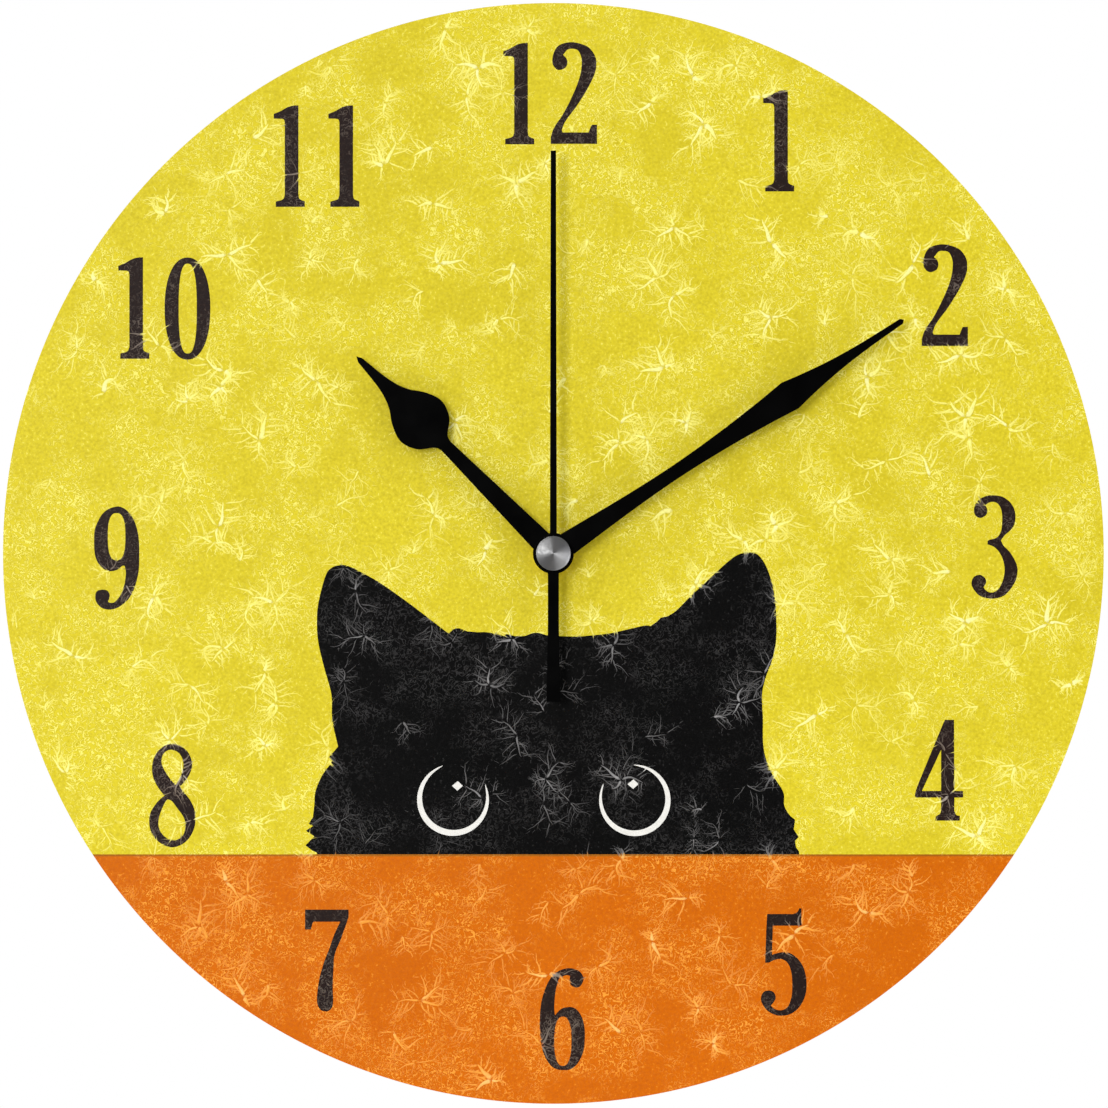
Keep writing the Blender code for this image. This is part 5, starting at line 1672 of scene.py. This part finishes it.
@dataclass
class Fixings:
    """The turned pieces on the hands' axis: the cap, the nuts, the washer and the bushing.

    Attributes:
        cap_radius: The radius of the cap.
        cap_rim: The height of the cap's straight rim.
        cap_lip: The width of the flat lip round the cap's cone.
        cap_ease: The power that shapes the cap's cone, where 1 is straight.
        thread_radius: The outer radius of the bushing's thread.
        bushing_bore: The radius of the bushing's hole.
        flange: The thickness of its flange.
        thread_pitch: The pitch of the bushing's thread.
        thread_depth: The depth of its thread.
        nut_edge: The rounding of the slotted nut's edges.
        pad_corner: The radius of the gasket's corners.
        pad_hole: The radius of its hole.
        pad_edge: The rounding of its edges.
        sides: How many places a turned piece has round it.
    """

    cap_radius: float = 3.9 * MM
    cap_rim: float = 0.62 * MM
    cap_lip: float = 0.16 * MM
    cap_ease: float = 1.15
    thread_radius: float = 3.5 * MM
    bushing_bore: float = 2.65 * MM
    flange: float = 0.6 * MM
    thread_pitch: float = 0.75 * MM
    thread_depth: float = 0.22 * MM
    nut_edge: float = 0.08 * MM
    pad_corner: float = 4.0 * MM
    pad_hole: float = 3.8 * MM
    pad_edge: float = 0.12 * MM
    sides: int = 128

    def cap(self, finish: bpy.types.Material) -> None:
        """Builds the cap: a low spun cone inside a fine rim.

        The cone falls from the front to its foot by its height times the fraction of the
        radius to the power that shapes it.

        Args:
            finish: The spun metal.
        """
        low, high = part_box("centre_cap")
        front, rear = low[1], high[1]
        foot = rear - self.cap_rim
        fraction = np.linspace(0.0, 1.0, 24)
        inner = self.cap_radius - self.cap_lip
        cone = np.column_stack([inner * fraction,
                                front + (foot - front) * fraction ** self.cap_ease])
        bead = foot - 0.5 * self.cap_lip
        rim = softened(np.array([(inner, foot), (inner, bead), (self.cap_radius, bead),
                                 (self.cap_radius, rear), (0.0, rear)]), 0.05 * MM, 4)
        section = np.concatenate([cone[:-1], rim[4:-5], np.array([(0.0, rear)])])
        mesh = mesh_of("spun_cap", turned(section, self.sides))
        seal(mesh)
        place(mesh, Body.SECOND, [finish], ("centre_cap",), crease=40.0)

    def ring(self, ring: Ring, finish: bpy.types.Material) -> None:
        """Builds a washer or plain nut: a rounded oblong section turned round the axis.

        Args:
            ring: The ring's sizes.
            finish: Its metal.
        """
        low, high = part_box(ring.node)
        outer = (high[0] - low[0]) / 2
        section = np.array([(ring.bore, low[1]), (outer, low[1]), (outer, high[1]),
                            (ring.bore, high[1])])
        mesh = mesh_of(ring.name, turned(softened(section, ring.rounding), self.sides))
        seal(mesh)
        place(mesh, ring.body, [finish], (ring.node,))

    def bushing(self, finish: bpy.types.Material) -> None:
        """Builds the threaded bushing, whose flange lies inside the case.

        The thread's radius is the outer one less its depth times a triangle wave of the
        depth over the pitch plus the fraction of a turn.

        Args:
            finish: The turned brass.
        """
        low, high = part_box("threaded_bushing")
        outer, bore, flange = self.thread_radius, self.bushing_bore, (high[0] - low[0]) / 2
        shoulder = high[1] - self.flange
        rows = int(8 * (shoulder - low[1]) / self.thread_pitch)
        depth = np.linspace(low[1], shoulder, rows)
        section = np.concatenate([
            np.array([(bore, low[1])]), np.column_stack([np.full(rows, outer), depth]),
            np.array([(flange, shoulder), (flange, high[1]), (bore, high[1])])])
        shape = turned(section, self.sides // 2)
        grid = shape.points.reshape(len(section), -1, 3)
        turn = np.arange(grid.shape[1]) / grid.shape[1]
        wave = np.abs(2.0 * ((depth[:, None] / self.thread_pitch + turn) % 1.0) - 1.0)
        inset = np.clip((depth - low[1]) / self.thread_pitch, 0.3, 1.0)[:, None]
        grid[1:rows + 1, :, ::2] *= (1.0 - self.thread_depth * wave * inset / outer)[..., None]
        mesh = mesh_of("cut_bushing", shape)
        seal(mesh)
        place(mesh, Body.CLOCK, [finish], ("threaded_bushing",))

    def slotted_nut(self, finish: bpy.types.Material) -> None:
        """Dresses the slotted ring nut with eased edges."""
        piece = place(copied("ring_nut", "slotted_nut"), Body.CLOCK, [finish],
                      ("ring_nut",))
        soften_edges(piece, self.nut_edge)

    def gasket(self, finish: bpy.types.Material) -> None:
        """Builds the gasket: a square pad with round corners and a hole.

        Args:
            finish: The rubber.
        """
        low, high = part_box("rubber_gasket")
        half = high[0]
        square = softened(np.array([(-half, -half), (half, -half), (half, half),
                                    (-half, half)]), self.pad_corner, 8)
        hole = circle(self.pad_hole, self.sides // 2)
        mesh = mesh_of("gasket_pad", plate([square, hole], low[1], high[1]))
        seal(mesh)
        piece = place(mesh, Body.CLOCK, [finish], ("rubber_gasket",))
        soften_edges(piece, self.pad_edge)


# The movement


@dataclass
class Movement:
    """The case halves, the setting knob, the cell with its contacts, and what is inside.

    Attributes:
        edge: The rounding of the case's lesser edges.
        corner: The rounding of its outer corners.
        floor: The thickness of the cell bay's floor.
        mark: The height of the marks on it.
        mark_at: The distance of the marks from the bay's middle.
        mark_half: Half of a mark's length and half of its stroke.
        knob_edge: The rounding of the knob's edges.
        arrow: The inner and outer radius of the arrow's band.
        arrow_head: How far its head stands out, and how long the head is.
        arrow_rise: Its height over the knob.
        arrow_turn: How far round it goes, in degrees.
        sunk: How far the marks and the arrow reach into what they stand on.
        wrap: The thickness of the cell's sleeve over its can.
        fold: How far the sleeve is folded over the ends.
        nub: The radius of the positive end.
        dish: The depth of the negative end.
        cell_sides: How many places the cell has round it.
        strip_edge: The rounding of the contacts' edges.
    """

    edge: float = 0.12 * MM
    corner: float = 0.7 * MM
    floor: float = 0.8 * MM
    mark: float = 0.25 * MM
    mark_at: float = 19.0 * MM
    mark_half: Point = (2.2 * MM, 0.45 * MM)
    knob_edge: float = 0.07 * MM
    arrow: Point = (1.75 * MM, 2.35 * MM)
    arrow_head: Point = (0.75 * MM, 1.7 * MM)
    arrow_rise: float = 0.22 * MM
    arrow_turn: float = 250.0
    sunk: float = 0.1 * MM
    wrap: float = 0.2 * MM
    fold: float = 1.0 * MM
    nub: float = 2.75 * MM
    dish: float = 0.25 * MM
    cell_sides: int = 72
    strip_edge: float = 0.04 * MM

    def case(self, finish: bpy.types.Material) -> None:
        """Dresses both halves of the case with round outer corners and eased edges.

        Args:
            finish: The moulded plastic.
        """
        low, high = (np.array(corner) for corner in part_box("front_case"))
        high[1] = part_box("rear_case")[1][1]
        for node, name in (("front_case", "moulded_front_case"),
                           ("rear_case", "moulded_rear_case")):
            mesh = copied(node, name)
            weigh_box_edges(mesh, low, high)
            piece = place(mesh, Body.CLOCK, [finish], (node,), crease=30.0)
            soften_edges(piece, self.corner, 4, weighed=True)
            soften_edges(piece, self.edge, 2, 50.0)
            panels = piece.modifiers.new("even_panels", "WEIGHTED_NORMAL")
            panels.keep_sharp = True

    def marks(self, finish: bpy.types.Material) -> None:
        """Raises a plus and a minus on the floor of the bay, at the cell's ends.

        Args:
            finish: The moulded plastic.
        """
        low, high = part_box("cell_can")
        middle = (low[2] + high[2]) / 2
        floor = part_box("front_case")[0][1] + self.floor
        long, short = self.mark_half
        arm = np.array([(-long, -short), (long, -short), (long, short), (-long, short)])
        cross = np.array([(-long, -short), (-short, -short), (-short, -long), (short, -long),
                          (short, -short), (long, -short), (long, short), (short, short),
                          (short, long), (-short, long), (-short, short), (-long, short)])
        for name, loop, x in (("plus_mark", cross, self.mark_at),
                              ("minus_mark", arm, -self.mark_at)):
            at = np.array([x, middle])
            mesh = mesh_of(name, plate([loop + at], floor - self.sunk, floor + self.mark))
            seal(mesh)
            piece = place(mesh, Body.CLOCK, [finish])
            soften_edges(piece, FINE_EDGE)

    def knob(self, finish: bpy.types.Material) -> None:
        """Dresses the ribbed knob and raises a turning arrow on it.

        Args:
            finish: The moulded plastic.
        """
        piece = place(copied("setting_knob", "ribbed_knob"), Body.KNOB, [finish],
                      ("setting_knob",), crease=25.0)
        soften_edges(piece, self.knob_edge, 2, 45.0)
        low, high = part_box("setting_knob")
        centre = ((low[0] + high[0]) / 2, (low[2] + high[2]) / 2)
        inner, outer = self.arrow
        barb, length = self.arrow_head
        head = np.array([(0.0, outer + barb), (-length, (outer + inner) / 2),
                         (0.0, inner - barb)]) + np.array(centre)
        band = np.concatenate([arc(outer, 0.0, self.arrow_turn, 48, centre)[::-1], head,
                               arc(inner, 0.0, self.arrow_turn, 48, centre)])
        mesh = mesh_of("knob_arrow",
                       plate([band], high[1] - self.sunk, high[1] + self.arrow_rise))
        seal(mesh)
        place(mesh, Body.KNOB, [finish])

    def along_cell(self, profile: Array) -> Shape:
        """A profile of radius and distance along X, carried round the cell's long axis.

        Args:
            profile: The radius and the distance of each point.

        Returns:
            The turned shape.
        """
        low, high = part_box("cell_can")
        middle = ((low[1] + high[1]) / 2, (low[2] + high[2]) / 2)
        angle = np.linspace(0.0, math.tau, self.cell_sides, endpoint=False)
        radius, x = profile[:, :1], profile[:, 1:]
        points = np.stack([x + 0.0 * angle, middle[0] + radius * np.cos(angle),
                           middle[1] + radius * np.sin(angle)], axis=-1)
        return Shape(points.reshape(-1, 3), lattice(len(profile), self.cell_sides))

    def cell(self, steel: bpy.types.Material, sleeve: bpy.types.Material) -> None:
        """Builds the cell: a can with a nub and a dished base, in a sleeve folded over it.

        Args:
            steel: The metal of the can.
            sleeve: The printed sleeve.
        """
        (can_low, *_), (can_high, *_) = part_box("cell_can")
        (first, *_), (last, *_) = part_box("cell_sleeve")
        radius = (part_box("cell_sleeve")[1][2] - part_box("cell_sleeve")[0][2]) / 2
        inner, fold, nub = radius - self.wrap, self.fold, self.nub
        lip, gap = 0.15 * MM, 0.02 * MM
        corners = np.array([
            (0.0, can_low + self.dish), (4.4 * MM, can_low + self.dish), (4.7 * MM, can_low),
            (inner - fold, can_low), (inner - fold, first + 2 * lip),
            (inner - gap, first + 2 * lip), (inner - gap, last - 2 * lip),
            (nub + 0.6 * MM, last - 2 * lip), (nub + 0.5 * MM, last - 0.6 * MM),
            (nub + 0.2 * MM, last - 0.6 * MM), (nub, last - 2 * lip), (nub, can_high),
            (0.0, can_high)])
        rounded = softened(corners, 0.18 * MM, 3)
        can = np.concatenate([corners[:1], rounded[4:-4], corners[-1:]])
        mesh = mesh_of("steel_can", self.along_cell(can))
        seal(mesh)
        place(mesh, Body.CELL, [steel], ("cell_can",))
        folded = np.array([
            (radius, first), (radius, last), (inner - fold, last), (inner - fold, last - lip),
            (inner, last - lip), (inner, first + lip), (inner - fold, first + lip),
            (inner - fold, first)])
        radii = np.array([0.5, 0.5, 0.05, 0.05, 0.1, 0.1, 0.05, 0.05]) * MM
        mesh = mesh_of("printed_sleeve", self.along_cell(softened(folded, radii, 4)))
        seal(mesh)
        place(mesh, Body.CELL, [sleeve], ("cell_sleeve",))

    def contacts(self, finish: bpy.types.Material) -> None:
        """Dresses the stamped contact strips with eased edges."""
        for node in ("positive_contact", "negative_contact"):
            piece = place(copied(node, f"stamped_{node}"), Body.CLOCK, [finish],
                          (node,), crease=25.0)
            soften_edges(piece, self.strip_edge, 1, 60.0)


# The stage


class Lamp(NamedTuple):
    """A square lamp that faces the clock.

    Attributes:
        name: Its name.
        stand: Where it stands.
        size: Its width.
        power: Its power, in watts.
    """

    name: str
    stand: tuple[float, float, float]
    size: float
    power: float


LAMPS = (
    Lamp("key_light", (-1.03, -3.34, 0.34), 0.92, 46.0),
    Lamp("side_light", (2.6, -2.4, 0.5), 2.0, 7.0),
    Lamp("high_light", (-0.75, -3.1, 1.5), 1.0, 17.0),
    Lamp("rear_light", (0.5, 1.4, 0.7), 0.8, 6.0),
)


@dataclass
class Stage:
    """The floor, the lights and the camera.

    Attributes:
        distance: From the camera to the film.
        span: The width of what the camera sees at the film.
        middle: The X and Z that the camera looks at.
        aim: The point that the lamps face.
        fill: The strength of the light from all round, but for the room's dark end, which
            lies behind the reader and keeps reflections off the film.
        dark_end: The angles from the clock's axis at which the room is dark and is light.
        gloom: The strength of the light in the dark end.
        floor_top: The height of the floor.
        floor_ends: The floor's least and greatest X, and its least and greatest Y.
    """

    distance: float = 2.5
    span: float = 0.251635
    middle: Point = (0.14 * MM, -0.14 * MM)
    aim: tuple[float, float, float] = (0.0, -0.02, 0.0)
    fill: float = 1.02
    dark_end: Point = (24.0, 52.0)
    gloom: float = 0.02
    floor_top: float = -0.16
    floor_ends: tuple[float, float, float, float] = (-2.0, 2.0, -0.3, 0.55)

    def floor(self) -> None:
        """Lays a pale floor under the clock, just below what the camera sees."""
        left, right, near, far = self.floor_ends
        corners = np.array([(left, near), (right, near), (right, far), (left, far)])
        points = np.column_stack([corners, np.full(4, self.floor_top)])
        mesh = mesh_of("pale_floor", Shape(points, np.array([(0, 1, 2, 3)])))
        mesh.materials.append(Finish("floor_paper", (0.80, 0.79, 0.77), (0.70, 0.69, 0.66),
                                     0.7, gloss=0.2, grain=700.0, patches=0.15).make())
        floor = bpy.data.objects.new("pale_floor", mesh)
        bpy.context.scene.collection.objects.link(floor)

    def hang(self, lamp: Lamp) -> None:
        """Hangs a square lamp that faces the clock and that the camera can't see.

        Args:
            lamp: Where it hangs and how it shines.
        """
        light = bpy.data.lights.new(lamp.name, "AREA")
        light.size = lamp.size
        light.energy = lamp.power
        holder = bpy.data.objects.new(lamp.name, light)
        holder.location = lamp.stand
        towards = Vector(self.aim) - Vector(lamp.stand)
        holder.rotation_euler = towards.to_track_quat("-Z", "Y").to_euler()
        holder.visible_camera = False
        bpy.context.scene.collection.objects.link(holder)

    def lights(self) -> None:
        """Hangs a key light on the left, weak ones around it, and light from all round."""
        for lamp in LAMPS:
            self.hang(lamp)
        world = bpy.data.worlds.new("studio")
        bpy.context.scene.world = world
        world.use_nodes = True
        nodes, links = world.node_tree.nodes, world.node_tree.links
        nodes.clear()
        rays = nodes.new("ShaderNodeLightPath")
        rays.label = "what the camera sees itself"
        seen = nodes.new("ShaderNodeBackground")
        seen.label = "white backdrop"
        direction = nodes.new("ShaderNodeTexCoord")
        direction.label = "direction in the room"
        parted = nodes.new("ShaderNodeSeparateXYZ")
        parted.label = "how far towards the reader"
        shade = nodes.new("ShaderNodeMapRange")
        shade.label = "dark end of the room"
        around = nodes.new("ShaderNodeBackground")
        around.label = "even light all round"
        choice = nodes.new("ShaderNodeMixShader")
        choice.label = "backdrop or light"
        output = nodes.new("ShaderNodeOutputWorld")
        output.label = "studio"
        lay_out(nodes, {
            "dark end of the room": (direction, parted, shade),
            "studio light": (rays, seen, around, choice, output),
        })

        dark, light = (-math.cos(math.radians(angle)) for angle in self.dark_end)
        seen.inputs["Color"].default_value = (1.0, 1.0, 1.0, 1.0)
        shade.interpolation_type = "SMOOTHSTEP"
        shade.inputs["From Min"].default_value = dark
        shade.inputs["From Max"].default_value = light
        shade.inputs["To Min"].default_value = self.gloom
        shade.inputs["To Max"].default_value = self.fill
        around.inputs["Color"].default_value = (1.0, 1.0, 1.0, 1.0)

        links.new(direction.outputs["Generated"], parted.inputs[0])
        links.new(parted.outputs["Y"], shade.inputs["Value"])
        links.new(shade.outputs["Result"], around.inputs["Strength"])
        links.new(rays.outputs["Is Camera Ray"], choice.inputs["Fac"])
        links.new(around.outputs["Background"], choice.inputs[1])
        links.new(seen.outputs["Background"], choice.inputs[2])
        links.new(choice.outputs["Shader"], output.inputs["Surface"])

    def camera(self) -> None:
        """Sets a long lens square to the face."""
        lens = bpy.data.cameras.new("camera")
        lens.sensor_width = 36.0
        lens.lens = lens.sensor_width * self.distance / self.span
        lens.clip_end = 20.0
        holder = bpy.data.objects.new("camera", lens)
        holder.location = (self.middle[0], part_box("face_film")[0][1] - self.distance,
                           self.middle[1])
        holder.rotation_euler = (math.radians(90.0), 0.0, 0.0)
        bpy.context.scene.collection.objects.link(holder)
        bpy.context.scene.camera = holder
        bpy.context.scene.view_settings.view_transform = "Standard"


# The whole clock


# Each ink: its own colour, its ridges' pale (lifted film with a painted highlight, and painted
# glints), and the painted shade beside a ridge, which is also the colour of its speckle
INKS: dict[Ink, PrintedInk] = {
    Ink.YELLOW: PrintedInk("yellow_ink", (0.765, 0.640, 0.028), (1.0, 0.93, 0.22),
                           (0.54, 0.430, 0.012)),
    Ink.ORANGE: PrintedInk("orange_ink", (0.655, 0.146, 0.0015), (0.95, 0.38, 0.045),
                           (0.53, 0.105, 0.001)),
    Ink.CAT: PrintedInk("black_ink", (0.0040, 0.0040, 0.0040), (0.15, 0.145, 0.145),
                        (0.0020, 0.0020, 0.0020), crackle=0.2, gloss=0.03),
    Ink.NUMERAL: PrintedInk("numeral_ink", (0.022, 0.012, 0.010), (0.24, 0.19, 0.15),
                            (0.010, 0.006, 0.006), crackle=0.45),
    Ink.EYE: PrintedInk("white_ink", (0.84, 0.83, 0.80), (0.95, 0.94, 0.90),
                        (0.70, 0.69, 0.64), crackle=0.5),
    Ink.EDGE: PrintedInk("table_edge_ink", (0.42, 0.135, 0.008), (0.60, 0.30, 0.06),
                         (0.30, 0.09, 0.006), crackle=0.5),
}


def dress(nodes: tuple[str, ...], finish: bpy.types.Material) -> None:
    """Gives a finish to every material slot of some of the frame's nodes."""
    for name in nodes:
        for slot in bpy.data.objects[name].material_slots:
            slot.material = finish


def dress_inside() -> None:
    """Gives the frame's own solids inside the case their finishes."""
    acetal = Finish("acetal", (0.80, 0.79, 0.74), (0.70, 0.68, 0.61), 0.42, grain=1800.0,
                    depth=0.000008, patches=0.4)
    steel = Metal("bright_steel", (0.60, 0.60, 0.62), (0.45, 0.44, 0.44), 0.24)
    iron = Metal("soft_iron", (0.42, 0.42, 0.44), (0.30, 0.29, 0.28), 0.40,
                 stretch=(1.0, 1.0, 0.1))
    finishes: dict[tuple[str, ...], Finish] = {
        ("second_wheel", "intermediate_wheel", "rotor_pinion", "third_wheel", "centre_wheel",
         "minute_wheel", "hour_wheel", "middle_plate"): acetal,
        ("second_arbor", "clutch_spring"): steel,
        ("cannon_pinion",): Metal("drawn_brass", (0.80, 0.58, 0.25), (0.56, 0.38, 0.15), 0.3,
                                  stretch=(1.0, 0.1, 1.0)),
        ("rotor_magnet",): Finish("ferrite", (0.045, 0.045, 0.050), (0.075, 0.072, 0.070),
                                  0.5, grain=2400.0, depth=0.00002),
        ("stator_plate", "coil_core"): iron,
        ("coil_bobbin",): Finish("nylon", (0.74, 0.73, 0.66), (0.64, 0.62, 0.54), 0.5,
                                 grain=1600.0, depth=0.00001),
        ("coil_winding",): Metal("enamelled_copper", (0.62, 0.23, 0.09), (0.40, 0.13, 0.05),
                                 0.34, stretch=(0.05, 0.05, 4.0), grain=2200.0,
                                 depth=0.00006),
        ("circuit_board",): Finish("phenolic", (0.34, 0.17, 0.055), (0.26, 0.12, 0.04), 0.6,
                                   grain=1300.0, stretch=(1.0, 1.0, 0.3)),
        ("driver_chip",): Finish("epoxy", (0.010, 0.010, 0.010), (0.020, 0.020, 0.020), 0.3,
                                 grain=700.0, depth=0.00005, clear=0.5),
        ("quartz_crystal",): Metal("tinned_can", (0.66, 0.66, 0.67), (0.52, 0.52, 0.52), 0.28),
    }
    for nodes, finish in finishes.items():
        dress(nodes, finish.make())


def main() -> None:
    """Builds the clock from the face outwards, then its stage."""
    logging.basicConfig(level=logging.INFO, format="%(name)s %(message)s")
    stage = Stage()
    stage.camera()
    stage.lights()
    stage.floor()

    face = Face()
    face.film([INKS[ink].make() for ink in Ink])
    face.board(Finish("fibreboard", (0.19, 0.105, 0.052), (0.26, 0.16, 0.085), 0.75,
                      gloss=0.3, grain=1600.0, depth=0.00008).make())
    Creases(face).build(INKS, {
        Ink.YELLOW: CreasedFilm("creased_yellow", 0.2).make(),
        Ink.ORANGE: CreasedFilm("creased_orange", 0.2).make(),
        Ink.CAT: CreasedFilm("creased_black", 0.08).make()})

    enamel = Finish("black_enamel", (0.0008, 0.0008, 0.0009), (0.002, 0.002, 0.002), 0.22,
                    gloss=0.03, grain=2500.0, depth=0.000004).make()
    for hand in HANDS:
        hand.build(enamel)
    brass = Metal("turned_brass", (0.78, 0.56, 0.24), (0.52, 0.36, 0.15), 0.28).make()
    fixings = Fixings()
    fixings.cap(Metal("spun_aluminium", (0.27, 0.27, 0.27), (0.24, 0.24, 0.25), 0.40,
                      grain=1500.0, depth=0.000002, turned=1.0).make())
    for ring in RINGS:
        fixings.ring(ring, brass)
    fixings.bushing(brass)
    fixings.slotted_nut(brass)
    fixings.gasket(Finish("rubber", (0.018, 0.018, 0.018), (0.030, 0.029, 0.028), 0.8,
                          gloss=0.25, grain=1500.0, depth=0.00003).make())

    plastic = Finish("moulded_black", (0.014, 0.014, 0.015), (0.026, 0.026, 0.026), 0.52,
                     gloss=0.4, grain=1500.0, depth=0.00004).make()
    nickel = Metal("nickel_strip", (0.72, 0.70, 0.66), (0.55, 0.53, 0.49), 0.3,
                   stretch=(0.2, 1.0, 1.0)).make()
    movement = Movement()
    movement.case(plastic)
    movement.marks(plastic)
    movement.knob(plastic)
    movement.cell(Metal("cell_steel", (0.66, 0.66, 0.67), (0.50, 0.50, 0.50), 0.26).make(),
                  PrintedSleeve("cell_sleeve", (0.020, 0.060, 0.135), (0.62, 0.47, 0.12),
                                (0.70, 0.70, 0.68)).make())
    movement.contacts(nickel)
    dress_inside()


if __name__ == "__main__":
    main()
